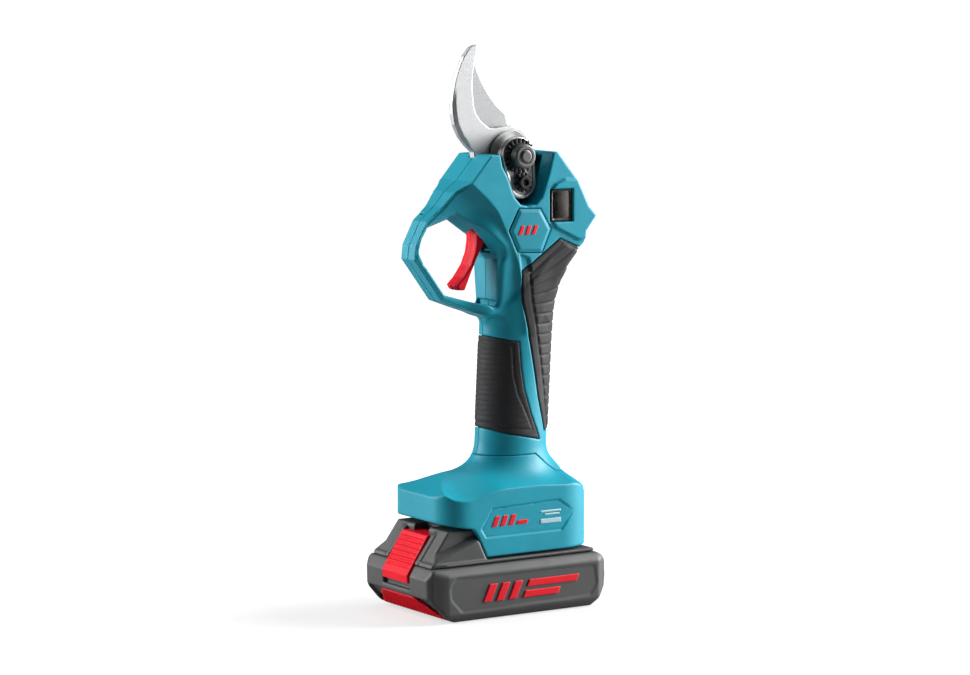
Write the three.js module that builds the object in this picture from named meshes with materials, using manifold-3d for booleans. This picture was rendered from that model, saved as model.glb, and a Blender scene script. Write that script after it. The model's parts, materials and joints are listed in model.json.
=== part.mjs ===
// Battery electric pruner: a one-hand bypass pruner with a slide-on battery under a foot.
// Millimetres. +Z is up, -X is the front (trigger side), -Y is the right side of the tool.
// The origin is the centre of the battery's underside; the two half shells meet at Y = 0.
import * as THREE from 'three'
import { mergeVertices } from 'three/addons/utils/BufferGeometryUtils.js'
import Module from 'manifold-3d'

const wasm = await Module()
wasm.setup()

// ---------- driving dimensions ----------
const pivot = { x: 16.5, z: 257.5 }            // the blades turn here, about an axis along Y
const lock = { x: 19, z: 242.5 }               // lock gear below the pivot nut
const headHalfWidth = 17
const noseHalfWidth = 11                       // front of the head, over the trigger
const guardHalfWidth = 5.4
const handle = { a: 22, b: 17, x: 19.6, z: 130, lean: 0.05 }   // oval section, leaning back as it rises
const handleFloor = 88                         // the half shells end here, on the foot
const wall = 3
const gripDepth = 1.8
const gripProud = 0.6
const fit = 0.15                               // gap between pieces that rest on each other
const motor = { x: pivot.x, r: 12.5, shaft: 1.25, bottom: 106, top: 162 }
const gearbox = { r: 12.5, bottom: 162.3, top: 196 }
const bladeStack = { fixedNear: -1, fixedFar: 4, movingFar: 8, sectorFar: 11 }
const footHalfWidth = 31
const battery = { halfWidth: 37.5, lidHalfWidth: 27, parting: 31.4, top: 50.4 }
const cell = { r: 9, length: 65, pitch: 19, z: 15.2 }
const bevelGear = { module: 1.25, sectorTeeth: 36, pinionTeeth: 9, face: 6 }

// ---------- colours and finishes ----------
const finishes = {
  teal: [0x35a3b8, 0.42, 0],
  rubber: [0x35363a, 0.85, 0],
  red: [0xe0223a, 0.4, 0],
  charcoal: [0x3d4146, 0.6, 0],
  black: [0x17181a, 0.5, 0],
  bladeSteel: [0xd2d6da, 0.28, 1],
  darkSteel: [0x8d9296, 0.35, 1],
  blackSteel: [0x24262a, 0.4, 1],
  castAluminium: [0xc9ccd0, 0.35, 1],
  brass: [0xc9a24a, 0.35, 1],
  copper: [0xb87040, 0.4, 1],
  board: [0x1d5c3a, 0.6, 0],
  cellWrap: [0x2f6db3, 0.45, 0],
}

// ---------- solids ----------
function toSolid(geometry) {
  const bare = geometry.index ? geometry.toNonIndexed() : geometry.clone()
  bare.deleteAttribute('normal')
  bare.deleteAttribute('uv')
  const welded = mergeVertices(bare, 1e-4)
  return new wasm.Manifold(new wasm.Mesh({
    numProp: 3,
    vertProperties: new Float32Array(welded.attributes.position.array),
    triVerts: new Uint32Array(welded.index.array),
  }))
}

function toGeometry(solid) {
  const mesh = solid.getMesh()
  const geometry = new THREE.BufferGeometry()
  geometry.setAttribute('position', new THREE.BufferAttribute(new Float32Array(mesh.vertProperties), 3))
  geometry.setIndex(new THREE.BufferAttribute(new Uint32Array(mesh.triVerts), 1))
  const flat = geometry.toNonIndexed()
  flat.computeVertexNormals()
  return flat
}

const join = (...solids) => solids.reduce((sum, solid) => sum.add(solid))
const cut = (solid, ...tools) => tools.reduce((rest, tool) => rest.subtract(tool), solid)

function outline(points) {
  return new THREE.Shape(points.map(([u, v]) => new THREE.Vector2(u, v)))
}

// A prism from a shape, with chamfered ends; grow moves its outline outwards.
function prism(shape, length, chamfer = 0, grow = 0, curveSegments = 16) {
  const bevelled = chamfer > 0 || grow !== 0
  const size = Math.max(chamfer, 0.001)
  const geometry = new THREE.ExtrudeGeometry(shape, {
    depth: bevelled ? length - 2 * size : length,
    curveSegments,
    bevelEnabled: bevelled,
    bevelSegments: 1,
    bevelThickness: size,
    bevelSize: size,
    bevelOffset: grow - size,
  })
  return bevelled ? geometry.translate(0, 0, size) : geometry
}

// Seen from the side: an X-Z shape given thickness along Y.
function sideSolid(shape, yLow, yHigh, chamfer = 0, grow = 0, curveSegments = 16) {
  const drawn = Array.isArray(shape) ? outline(shape) : shape
  const geometry = prism(drawn, yHigh - yLow, chamfer, grow, curveSegments)
  return toSolid(geometry.rotateX(Math.PI / 2).translate(0, yHigh, 0))
}

// Seen from above: an X-Y shape given height along Z.
function planSolid(shape, zLow, zHigh, chamfer = 0) {
  const drawn = Array.isArray(shape) ? outline(shape) : shape
  return toSolid(prism(drawn, zHigh - zLow, chamfer).translate(0, 0, zLow))
}

// Seen from the front: a Y-Z shape given length along X.
function frontSolid(shape, xLow, xHigh, chamfer = 0) {
  const drawn = Array.isArray(shape) ? outline(shape) : shape
  const geometry = prism(drawn, xHigh - xLow, chamfer)
  return toSolid(geometry.rotateX(Math.PI / 2).rotateZ(Math.PI / 2).translate(xLow, 0, 0))
}

function box(low, high) {
  const size = high.map((value, axis) => value - low[axis])
  const middle = high.map((value, axis) => (value + low[axis]) / 2)
  return toSolid(new THREE.BoxGeometry(...size).translate(...middle))
}

function rodY(x, z, radius, yLow, yHigh, sides = 24) {
  const geometry = new THREE.CylinderGeometry(radius, radius, yHigh - yLow, sides)
  return toSolid(geometry.translate(x, (yLow + yHigh) / 2, z))
}

function rodZ(x, y, radius, zLow, zHigh, sides = 24) {
  const geometry = new THREE.CylinderGeometry(radius, radius, zHigh - zLow, sides)
  return toSolid(geometry.rotateX(Math.PI / 2).translate(x, y, (zLow + zHigh) / 2))
}

function arcPoints(x, z, radius, fromDegrees, toDegrees, count) {
  return Array.from({ length: count + 1 }, (_, index) => {
    const angle = THREE.MathUtils.degToRad(fromDegrees + (toDegrees - fromDegrees) * index / count)
    return [x + radius * Math.cos(angle), z + radius * Math.sin(angle)]
  })
}

// A closed coil along Z, from a round wire.
function coil(x, y, zLow, zHigh, radius, wire, turns) {
  class Helix extends THREE.Curve {
    getPoint(t) {
      const angle = 2 * Math.PI * turns * t
      const z = THREE.MathUtils.lerp(zLow + wire, zHigh - wire, t)
      return new THREE.Vector3(x + radius * Math.cos(angle), y + radius * Math.sin(angle), z)
    }
  }
  const section = new THREE.Shape().absarc(0, 0, wire, 0, 2 * Math.PI)
  const geometry = new THREE.ExtrudeGeometry(section, {
    steps: turns * 8, curveSegments: 3, bevelEnabled: false, extrudePath: new Helix(),
  })
  return toSolid(geometry)
}

const part = new THREE.Group()
part.name = 'battery_electric_pruner'

function add(name, solid, finish) {
  const [color, roughness, metalness] = finishes[finish]
  const material = new THREE.MeshStandardMaterial({ color, roughness, metalness })
  const mesh = new THREE.Mesh(toGeometry(solid), material)
  mesh.name = name
  part.add(mesh)
}

// ---------- body outlines, seen from the right side ----------
const headOutline = [
  [-5.5, 258.5], [-18.9, 245.2], [-8, 234], [-1.9, 227.2], [3.4, 217.1], [7.8, 207.8], [12.1, 198],
  [14.8, 184], [15.4, 160], [38, 160], [41.7, 175], [42.4, 185.7], [47.2, 195.8], [57.2, 207.5],
  [57.5, 213.8], [64.8, 222.4], [59.5, 228], [51.1, 244.4], [38.7, 259], [27, 259],
]
const noseOutline = [
  [-5.5, 258.5], [-18.9, 245.2], [-26, 238.6], [-21.8, 227], [-13.1, 216.5], [1.1, 201], [1.1, 172],
  [0.5, 160], [30, 160], [30, 250],
]
const guardOuter = [
  [-26.7, 238.6], [-33.6, 230.5], [-42.9, 222.7], [-50, 209.4], [-50.9, 201.5], [-32.8, 177.2],
  [-19.7, 172.4], [-5.5, 166.5], [-0.8, 160.6], [10, 158], [10, 236],
]
const guardHole = [
  [-25.2, 222.9], [-39.7, 218.2], [-43.4, 212], [-45.5, 205], [-44.5, 198.9], [-31.1, 180.9],
  [-13.5, 176], [-1.5, 173.2], [1.1, 175.5], [1.1, 201], [-13.1, 214.5],
]

function leaningHandle(a, b, zLow, zHigh) {
  const geometry = new THREE.CylinderGeometry(1, 1, zHigh - zLow, 32)
  geometry.rotateX(Math.PI / 2).scale(a, b, 1).translate(handle.x, 0, (zLow + zHigh) / 2)
  const lean = new THREE.Matrix4().set(
    1, 0, handle.lean, -handle.lean * handle.z,
    0, 1, 0, 0,
    0, 0, 1, 0,
    0, 0, 0, 1,
  )
  return toSolid(geometry.applyMatrix4(lean))
}

// The outside of the whole body; grow is negative for the surface under the grips.
function bodySolid(grow) {
  const side = (points, halfWidth, chamfer) =>
    sideSolid(points, -halfWidth - grow, halfWidth + grow, chamfer, grow)
  const guard = cut(side(guardOuter, guardHalfWidth, 2), sideSolid(guardHole, -20, 20))
  return join(
    side(headOutline, headHalfWidth, 3),
    side(noseOutline, noseHalfWidth, 2.5),
    guard,
    leaningHandle(handle.a + grow, handle.b + grow, handleFloor, 206),
  )
}

// ---------- what is hollowed out of the body ----------
const shellScrews = [
  { x: 43, z: 247, head: 12.5 }, { x: 55.5, z: 221.5, head: 12.5 }, { x: -19, z: 235, head: 7 },
  { x: -36.5, z: 223.5, head: 3 }, { x: 33.2, z: 184, head: 12.5 }, { x: 17.5, z: 99, head: 12.5 },
]
const strapSlot = { xLow: 34.9, xHigh: 47.1, zLow: 221, zHigh: 237, liner: 1.2 }
const triggerPin = { x: -3.5, z: 221 }
const triggerHalfWidth = 6
const triggerPinHalf = 8
const screwHead = { r: 2.6, well: 2.9, height: 1.9 }
const screwShank = { r: 1.5, hole: 1.6 }

function slotBlock(grow, halfWidth) {
  return box(
    [strapSlot.xLow - grow, -halfWidth, strapSlot.zLow - grow],
    [strapSlot.xHigh + grow, halfWidth, strapSlot.zHigh + grow],
  )
}

function bodyCavity() {
  const head = sideSolid([
    [-8, 255.5], [34, 255.5], [41, 250], [53.5, 226], [53, 210], [44.5, 201], [39.2, 188], [38.4, 178],
    [35, 164], [8, 164], [6.5, 198], [0.5, 221], [-7.5, 243],
  ], -13.2, 13.2)
  const gearboxRoom = rodZ(motor.x, 0, gearbox.r + 0.2, motor.bottom - 8, gearbox.top + 1.5, 32)
  const posts = shellScrews.map(({ x, z }) => rodY(x, z, 3.6, -14, 14, 10))
  const bearingWeb = box([5.5, -16, 220.6], [27.5, 16, 229])
  const ribs = [114, 156].map(z => box([-10, -16, z], [60, 16, z + 2]))
  const handleRoom = leaningHandle(handle.a - wall, handle.b - wall, handleFloor - 2, 197)
  const openings = join(cut(join(head, handleRoom), ...ribs, bearingWeb), gearboxRoom)
  const wirePath = box([29.5, -4, 90], [33.5, 4, 170])
  return cut(join(openings, wirePath), slotBlock(strapSlot.liner + 1.4, 30), ...posts)
}

const seatRear = bladeStack.fixedNear - 0.2

function stadium(radiusTop, radiusLow) {
  return [
    ...arcPoints(pivot.x, pivot.z, radiusTop, 190, -10, 9),
    ...arcPoints(lock.x, lock.z, radiusLow, -10, -170, 8),
  ]
}

// The seat widens from its front face to the blades in one chamfer.
function seatFlare(grow) {
  const cone = sideSolid(stadium(14, 13.6), -8.6 - grow, 4, 3, grow)
  return cone.intersect(box([-20, -20, 200], [60, grow ? seatRear : seatRear - 0.1, 300]))
}

const notchOutline = [
  [0.7, 262], [0.9, 257.8], [2.2, 252.6], [6.2, 245.5], [8.9, 237.9], [11, 234.4], [14.5, 231.4],
  [18.7, 230.2], [24, 231], [27.8, 234.6], [29.6, 240.3], [31.8, 247.8], [34.7, 257.4], [34.7, 262],
]

// The two blades leave the head through this slot, and turn inside it.
const slotTop = 262
const bladeSlot = join(
  box([-11.4, seatRear, 243.4], [33.2, bladeStack.fixedFar + 0.4, slotTop]),
  box([1, bladeStack.fixedFar - 1, 242.6], [32.5, bladeStack.sectorFar + 0.6, slotTop]),
)
const triggerSlot = join(
  box([-12.5, -triggerHalfWidth - 0.5, 203], [3.5, triggerHalfWidth + 0.5, 222]),
  rodY(triggerPin.x, triggerPin.z, 5.8, -triggerHalfWidth - 0.5, triggerHalfWidth + 0.5),
  box([3, -5.4, 204.5], [13, 5.4, 221]),
)

function shellScrewHoles() {
  return join(...shellScrews.flatMap(({ x, z, head }) => [
    rodY(x, z, screwShank.hole, -0.65 * head, head + 0.1, 10),
    rodY(x, z, screwHead.well, head, 30, 14),
  ]))
}

// ---------- soft grips, set into the handle ----------
const frontGripRegion = [
  [-12, 158], [13.3, 152.6], [14.3, 138.1], [16.2, 125.1],
  [21, 110.3], [27.7, 96.1], [7, 100.5], [-12, 106],
]
const rearGripRegion = [
  [40.4, 210.2], [52.6, 204.9], [70, 198], [70, 101], [32.4, 101], [26.3, 119.8], [20, 152.4],
  [14.8, 176.6], [14.8, 192.3],
]

function gripSolid(region, clearance) {
  const skin = cut(bodySolid(gripProud), bodySolid(-gripDepth - clearance))
  return skin.intersect(sideSolid(region, -30, 30, 0.002, clearance))
}

// ---------- half shells ----------
function buildShells() {
  const hollow = join(bodyCavity(), bladeSlot, triggerSlot)
  const seatNotch = join(
    sideSolid(notchOutline, -30, seatRear, 0, 0),
    seatFlare(0.3),
  )
  const boltHeadPort = rodY(pivot.x, pivot.z, 9, 10, 30, 24)
  const badgeSeats = join(badgeSolid(-1, fit), badgeSolid(1, fit))
  const body = cut(
    bodySolid(0), hollow, seatNotch, boltHeadPort, slotBlock(strapSlot.liner + fit, 30), badgeSeats,
    gripSolid(frontGripRegion, fit), gripSolid(rearGripRegion, fit), shellScrewHoles(),
    rodY(triggerPin.x, triggerPin.z, 1.7, -triggerPinHalf - 0.2, triggerPinHalf + 0.2, 20),
    bearingSeat(), box([-80, -0.05, 0], [80, 0.05, 330]),
  )
  add('housing_right', body.intersect(box([-80, -40, 0], [80, 0, 330])), 'teal')
  add('housing_left', body.intersect(box([-80, 0, 0], [80, 40, 330])), 'teal')
}

const badgeOutline = [[11.7, 228.2], [25.8, 227.9], [32.7, 216.4], [28, 201.8], [11.1, 204.1], [6, 215.8]]

// A plain hexagonal plate set into each side of the head.
function badgeSolid(side, grow) {
  const [near, far] = [headHalfWidth - 1.2 - grow, headHalfWidth + (grow ? 5 : 0.6)]
  const [yLow, yHigh] = side < 0 ? [-far, -near] : [near, far]
  return sideSolid(badgeOutline, yLow, yHigh, grow ? 0.002 : 0.5, grow)
}

function buildTrim() {
  add('front_grip', gripSolid(frontGripRegion, 0), 'rubber')
  add('rear_grip', gripSolid(rearGripRegion, 0), 'rubber')
  add('badge_right', badgeSolid(-1, 0), 'teal')
  add('badge_left', badgeSolid(1, 0), 'teal')
  const liner = cut(slotBlock(strapSlot.liner, headHalfWidth + 0.4), slotBlock(0, 30))
  add('strap_slot_liner', liner, 'blackSteel')
  shellScrews.forEach(({ x, z, head }, index) => {
    const recess = rodY(x, z, 1.3, head + 0.9, head + 3, 6)
    const shank = rodY(x, z, screwShank.r, -0.6 * head, head + 0.2, 10)
    const cap = rodY(x, z, screwHead.r, head + 0.1, head + screwHead.height, 14)
    add(`shell_screw_${index + 1}`, cut(join(shank, cap), recess), 'blackSteel')
  })
}

// ---------- blades, and the parts on their pivot ----------
const boltRadius = 4

// Front blade: a hook that stays with the tool.
function buildFixedBlade() {
  const tang = [
    [-10.8, 260.1], [-9.4, 250], [-5, 244], [8, 244], [29, 244], [31.6, 249],
    ...arcPoints(pivot.x, pivot.z, 16.2, -10, 112, 10),
  ]
  const hook = [
    ...tang, [3, 272.5], [-3, 277.5], [-7, 283.5], [-8.3, 292], [-8, 305], [-6.5, 312], [-5, 320],
    [-10, 318.5], [-14.1, 313.4], [-19.5, 300.6], [-21.1, 287.8], [-19.5, 275.5],
  ]
  const plate = sideSolid(hook, bladeStack.fixedNear, bladeStack.fixedFar - 0.1, 0.6)
  return cut(plate, rodY(pivot.x, pivot.z, boltRadius + 0.05, -20, 20, 24))
}

// Rear blade: sweeps back from the hook to open.
function buildMovingBlade() {
  const edge = [
    ...arcPoints(pivot.x, pivot.z, 14.2, 130, 400, 16), [26, 268], [15.7, 273.3], [12.7, 280.2],
    [6.6, 286], [-1.5, 297.4], [-7.3, 310.4], [-9.2, 306], [-10.3, 298], [-10, 288], [-7.2, 279],
    [-0.5, 272],
  ]
  const plate = sideSolid(edge, bladeStack.fixedFar, bladeStack.movingFar, 0.5)
  return cut(plate, rodY(pivot.x, pivot.z, boltRadius + 0.05, -20, 20, 24))
}

// Cast seat that clamps the blades to the right shell.
function buildSeat() {
  const seat = join(seatFlare(0), sideSolid(stadium(10.8, 9.5), -10.5, -3))
  return cut(
    seat,
    rodY(pivot.x, pivot.z, boltRadius + 0.05, -20, 20, 24),
    rodZ(pivot.x, 0, 8, 220, 242, 24),
    rodY(lock.x, lock.z, 2.1, -12, -8.2, 16),
  )
}

// A toothed disc on an axis along Y.
function toothedDisc(x, z, rootRadius, tipRadius, teeth, yLow, yHigh) {
  const step = 360 / teeth
  const points = Array.from({ length: teeth }, (_, index) => {
    const start = index * step
    return [
      ...arcPoints(x, z, rootRadius, start, start + step * 0.42, 1),
      ...arcPoints(x, z, tipRadius, start + step * 0.5, start + step * 0.92, 1),
    ]
  }).flat()
  return sideSolid(points, yLow, yHigh)
}

// The toothed washer and lock gear lie on the seat; the nut and the screw's head sit on them.
const toothedPlate = { yLow: -12.1, yHigh: -10.6 }
const headSeatY = toothedPlate.yLow - 0.1
const boltHead = { r: 8.4, yLow: 11.7, yHigh: 15.6, chamfer: 0.6, socketFloor: 13 }
const lockScrew = { r: 2, headR: 3.8, headTop: -14, tip: -8.3, socketFloor: -12.8 }

function buildPivotHardware() {
  const { yLow, yHigh } = toothedPlate
  const bore = rodY(pivot.x, pivot.z, boltRadius + 0.05, -30, 30, 24)
  const washer = toothedDisc(pivot.x, pivot.z, 8.6, 9.5, 20, yLow, yHigh)
  add('nut_washer', cut(washer, bore), 'blackSteel')
  const nutShape = arcPoints(pivot.x, pivot.z, 6.9, 0, 330, 11)
  add('pivot_nut', cut(sideSolid(nutShape, -18, headSeatY, 0.5), bore), 'darkSteel')

  const headShape = arcPoints(pivot.x, pivot.z, boltHead.r, 0, 337.5, 15)
  const head = sideSolid(headShape, boltHead.yLow, boltHead.yHigh, boltHead.chamfer)
  const socket = sideSolid(arcPoints(pivot.x, pivot.z, 3.4, 0, 300, 5), boltHead.socketFloor, 20)
  const shank = rodY(pivot.x, pivot.z, boltRadius, -19, boltHead.yLow + 0.3, 24)
  add('pivot_bolt', join(shank, cut(head, socket)), 'darkSteel')

  const lockTeeth = toothedDisc(lock.x, lock.z, 4.2, 5.1, 11, yLow, yHigh)
  add('lock_gear', cut(lockTeeth, rodY(lock.x, lock.z, lockScrew.r + 0.1, -30, 0, 16)), 'blackSteel')
  const lockHead = rodY(lock.x, lock.z, lockScrew.headR, lockScrew.headTop, headSeatY, 20)
  const lockSocket = sideSolid(arcPoints(lock.x, lock.z, 2, 0, 300, 5), -20, lockScrew.socketFloor)
  const lockShank = rodY(lock.x, lock.z, lockScrew.r, headSeatY - 0.2, lockScrew.tip, 16)
  add('lock_screw', join(cut(lockHead, lockSocket), lockShank), 'blackSteel')
}

// ---------- gears ----------
// Spur outline with involute flanks; thin takes material off each flank for backlash.
function gearPoints(teeth, module, addendum, dedendum, thin, phase = 0, steps = 1) {
  const pitch = teeth * module / 2
  const base = pitch * Math.cos(THREE.MathUtils.degToRad(20))
  const tip = pitch + addendum
  const root = pitch - dedendum
  const involute = angle => Math.tan(angle) - angle
  const halfTooth = Math.PI / (2 * teeth) - thin / (2 * pitch) + involute(THREE.MathUtils.degToRad(20))
  const flank = Array.from({ length: steps + 1 }, (_, index) => {
    const radius = THREE.MathUtils.lerp(Math.max(base, root), tip, index / steps)
    return [radius, halfTooth - involute(Math.acos(Math.min(1, base / radius)))]
  })
  if (root < base) flank.unshift([root, flank[0][1]])
  const polar = ([radius, angle]) => [radius * Math.cos(angle), radius * Math.sin(angle)]
  return Array.from({ length: teeth }, (_, index) => {
    const middle = 2 * Math.PI * index / teeth + phase
    const rising = flank.map(([radius, angle]) => polar([radius, middle - angle]))
    const falling = flank.map(([radius, angle]) => polar([radius, middle + angle])).reverse()
    return [...rising, ...falling]
  }).flat()
}

const sunTeeth = 8
const planetTeeth = 10
const ringTeeth = 28
const gearModule = 0.75
const planetOrbit = (sunTeeth + planetTeeth) * gearModule / 2
const planetAngles = [0, 120, 240]
const gearStage = { low: 172, high: 180 }

function spurSolid(teeth, x, y, phase, zLow, zHigh) {
  const points = gearPoints(teeth, gearModule, 0.5, 0.85, 0.2, phase)
  return planSolid(points.map(([u, v]) => [u + x, v + y]), zLow, zHigh)
}

// Shrinks a gear toward the apex where the bevel axes cross; heel is the full-size end.
function taperToApex(geometry, distanceOf, scaleAxes) {
  const position = geometry.attributes.position
  for (let index = 0; index < position.count; index += 1) {
    const point = [position.getX(index), position.getY(index), position.getZ(index)]
    const scale = distanceOf(point)
    scaleAxes.forEach(axis => { point[axis] *= scale })
    position.setXYZ(index, ...point)
  }
  return geometry
}

const sectorPitchRadius = bevelGear.sectorTeeth * bevelGear.module / 2
const pinionPitchRadius = bevelGear.pinionTeeth * bevelGear.module / 2

function buildPinion() {
  const points = gearPoints(bevelGear.pinionTeeth, bevelGear.module, 0.9, 1.3, 0.25, Math.PI / 2, 3)
  const geometry = prism(outline(points), bevelGear.face)
  taperToApex(geometry, ([, , z]) => (sectorPitchRadius - z) / sectorPitchRadius, [0, 1])
  geometry.translate(pivot.x, 0, pivot.z - sectorPitchRadius)
  return cut(toSolid(geometry), rodZ(pivot.x, 0, 2.55, 200, 250, 20))
}

// Bevel teeth on a sector plate behind the moving blade.
function buildSector() {
  const step = 360 / bevelGear.sectorTeeth
  const pitchSlope = pinionPitchRadius / sectorPitchRadius
  const halfPitch = Math.PI * bevelGear.module / 4 - 0.14
  const slope = Math.tan(THREE.MathUtils.degToRad(20))
  const height = 0.9
  const depth = 1.5
  // Across the tooth and toward the pinion, at the heel.
  const profile = [
    [-halfPitch - depth * slope, -depth - 6], [-halfPitch - depth * slope, -depth],
    [-halfPitch + height * slope, height], [halfPitch - height * slope, height],
    [halfPitch + depth * slope, -depth], [halfPitch + depth * slope, -depth - 6],
  ]
  const teeth = []
  for (let index = -1; index <= 5; index += 1) {
    const geometry = prism(outline(profile), bevelGear.face)
    taperToApex(geometry, ([, , z]) => (sectorPitchRadius - z) / sectorPitchRadius, [0])
    const position = geometry.attributes.position
    for (let point = 0; point < position.count; point += 1) {
      const across = position.getX(point)
      const toward = position.getY(point)
      const radius = sectorPitchRadius - position.getZ(point)
      position.setXYZ(point, -across, radius * pitchSlope - toward, -radius)
    }
    const angle = -THREE.MathUtils.degToRad((index + 0.5) * step)
    geometry.rotateY(angle).translate(pivot.x, 0, pivot.z)
    teeth.push(toSolid(geometry))
  }
  const rimLow = -96
  const rimHigh = -90 + 6 * step
  const plate = sideSolid([
    ...arcPoints(pivot.x, pivot.z, sectorPitchRadius + 0.6, rimLow - 6, rimHigh, 8),
    ...arcPoints(pivot.x, pivot.z, 12, rimHigh + 20, rimLow + 360 - 20, 10),
  ], bladeStack.movingFar + 0.1, bladeStack.sectorFar)
  const backing = box([-30, bladeStack.movingFar + 0.1 - 4, 200], [80, bladeStack.sectorFar, 300])
  const gear = join(plate, ...teeth).intersect(backing)
  return cut(gear, rodY(pivot.x, pivot.z, boltRadius + 0.05, -20, 20, 24))
}

function bearingSeat() {
  return join(rodZ(pivot.x, 0, 8.1, 222, 230.2, 24), rodZ(pivot.x, 0, 5, 205, 224, 16))
}

// ---------- motor and planetary gearbox, on the handle's axis ----------
function ring(outer, inner, zLow, zHigh, sides = 32) {
  return cut(rodZ(pivot.x, 0, outer, zLow, zHigh, sides), rodZ(pivot.x, 0, inner, zLow - 1, zHigh + 1, 24))
}

function planetCentre(degrees) {
  const angle = THREE.MathUtils.degToRad(degrees)
  return [pivot.x + planetOrbit * Math.cos(angle), planetOrbit * Math.sin(angle)]
}

function buildGearbox() {
  const { low, high } = gearStage
  const ringPoints = gearPoints(ringTeeth, gearModule, 0.8, 0.45, -0.1, Math.PI / ringTeeth)
    .map(([u, v]) => [u + pivot.x, v])
  const ringOpening = planSolid(ringPoints, low - 0.5, high + 0.5)
  const can = rodZ(pivot.x, 0, gearbox.r, gearbox.bottom + 3.2, gearbox.top, 32)
  const room = rodZ(pivot.x, 0, 9.6, low - 4, low - 0.5, 24)
  const carrierRoom = rodZ(pivot.x, 0, 11.2, high + 0.5, gearbox.top + 1, 32)
  const entry = rodZ(pivot.x, 0, 3, gearbox.bottom, low, 24)
  add('gearbox_case', cut(can, ringOpening, room, carrierRoom, entry), 'castAluminium')
  add('gearbox_cap', ring(11, 4.3, gearbox.top - 3, gearbox.top), 'castAluminium')

  const pinRadius = 1.2
  const pins = planetAngles.map(angle => rodZ(...planetCentre(angle), pinRadius, low, high + 2, 12))
  const disc = rodZ(pivot.x, 0, 10.6, high + 1, high + 4, 32)
  const shaft = rodZ(pivot.x, 0, 4.2, high + 3, 228, 24)
  const stub = rodZ(pivot.x, 0, 2.5, 227, pivot.z - sectorPitchRadius + 5.6, 20)
  add('planet_carrier', join(disc, shaft, stub, ...pins), 'darkSteel')
  planetAngles.forEach((degrees, index) => {
    const [x, y] = planetCentre(degrees)
    const orbit = THREE.MathUtils.degToRad(degrees)
    // Turned so a planet space faces each sun tooth, and a planet tooth each ring space.
    const phase = orbit + Math.PI + Math.PI / planetTeeth + orbit * sunTeeth / planetTeeth
    const gear = spurSolid(planetTeeth, x, y, phase, low + 0.2, high - 0.2)
    add(`planet_gear_${index + 1}`, cut(gear, rodZ(x, y, pinRadius + 0.05, 100, 300, 12)), 'brass')
  })
  const sun = spurSolid(sunTeeth, pivot.x, 0, 0, low + 0.2, high - 0.2)
  add('sun_gear', cut(sun, rodZ(pivot.x, 0, motor.shaft + 0.05, 100, 300, 16)), 'brass')
  add('shaft_bearing', ring(8, 4.25, 222.2, 227.4), 'darkSteel')
}

function buildMotor() {
  const { x, r, shaft, bottom, top } = motor
  const inside = r - 1.4
  const can = cut(
    rodZ(x, 0, r, bottom, top, 32),
    rodZ(x, 0, inside, bottom + 4, top - 1.4, 32),
    rodZ(x, 0, 2.6, top - 3, top + 3, 24),
    rodZ(x, 0, inside, bottom - 1, bottom + 4.1, 32),
  )
  add('motor_can', can, 'darkSteel')
  const capDisc = rodZ(x, 0, inside - 0.1, bottom, bottom + 4, 32)
  const capHub = rodZ(x, 0, 4, bottom - 2.5, bottom + 1, 24)
  const capBore = rodZ(x, 0, shaft + 0.1, bottom - 1, bottom + 8, 16)
  add('motor_end_cap', cut(join(capDisc, capHub), capBore), 'black')

  // Two curved magnets, one on each side, with a gap between them in front and behind.
  const magnetRing = ring(inside - 0.1, 9, bottom + 10, top - 8)
  const sideways = { right: [-20, -3], left: [3, 20] }
  Object.entries(sideways).forEach(([side, [yLow, yHigh]]) => {
    const magnet = magnetRing.intersect(box([-20, yLow, 0], [60, yHigh, 400]))
    add(`motor_magnet_${side}`, magnet, 'black')
  })

  const windingRadius = 8.5
  const slots = Array.from({ length: 5 }, (_, index) => box([4.2, -1, bottom + 11], [12, 1, top - 9])
    .rotate([0, 0, 72 * index])
    .translate([x, 0, 0]))
  const winding = cut(rodZ(x, 0, windingRadius, bottom + 12, top - 10, 32), ...slots)
  const collector = rodZ(x, 0, 4, bottom + 5, bottom + 12.5, 24)
  const rotorShaft = rodZ(x, 0, shaft, bottom - 0.9, gearStage.high - 1, 16)
  add('motor_rotor', join(winding, collector, rotorShaft), 'copper')
}

// ---------- trigger, its pin, and the switch it pushes ----------
function buildTrigger() {
  const lever = [
    [-9.4, 221.5], [-9.3, 210], [-10.2, 203.5], [-13.1, 196.6], [-18, 190], [-22.6, 185.6],
    [-20.6, 182.6], [-16.2, 182.2], [-11.2, 193.5], [-8.4, 199.2], [-5.4, 205], [-1.8, 210],
    [-0.4, 214], [-0.6, 219], [-1, 224.4], [-7, 225.4], [-9, 224],
  ]
  const edge = triggerHalfWidth
  const body = sideSolid(lever, -edge, edge, 1)
  const groove = sideSolid([[-30, 180], [-16.8, 191], [-12.4, 197.5], [-9.7, 204], [-30, 212]], -0.9, 0.9)
  const trigger = cut(body, groove, rodY(triggerPin.x, triggerPin.z, 1.56, -10, 10, 20))
  const pocket = sideSolid(arcPoints(triggerPin.x, triggerPin.z, 5.3, 0, 345, 23), -10, 10)
  const keep = box([-40, -10, 170], [10, 10, 219.5])
  add('trigger', trigger.intersect(join(pocket, keep)), 'red')
  const pin = rodY(triggerPin.x, triggerPin.z, 1.5, -triggerPinHalf, triggerPinHalf, 20)
  add('trigger_pin', pin, 'darkSteel')
}

const switchBox = { xLow: 3.8, xHigh: 11.6, zLow: 205, zHigh: 219, halfWidth: 5 }

function buildSwitch() {
  const { xLow, xHigh, zLow, zHigh, halfWidth } = switchBox
  const plungerHole = box([xLow - 1, -2.1, 210.9], [xLow + 4, 2.1, 215.1])
  add('trigger_switch', cut(box([xLow, -halfWidth, zLow], [xHigh, halfWidth, zHigh]), plungerHole), 'black')
  add('switch_plunger', box([0.2, -2, 211], [xLow + 1.6, 2, 215]), 'charcoal')
}

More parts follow.
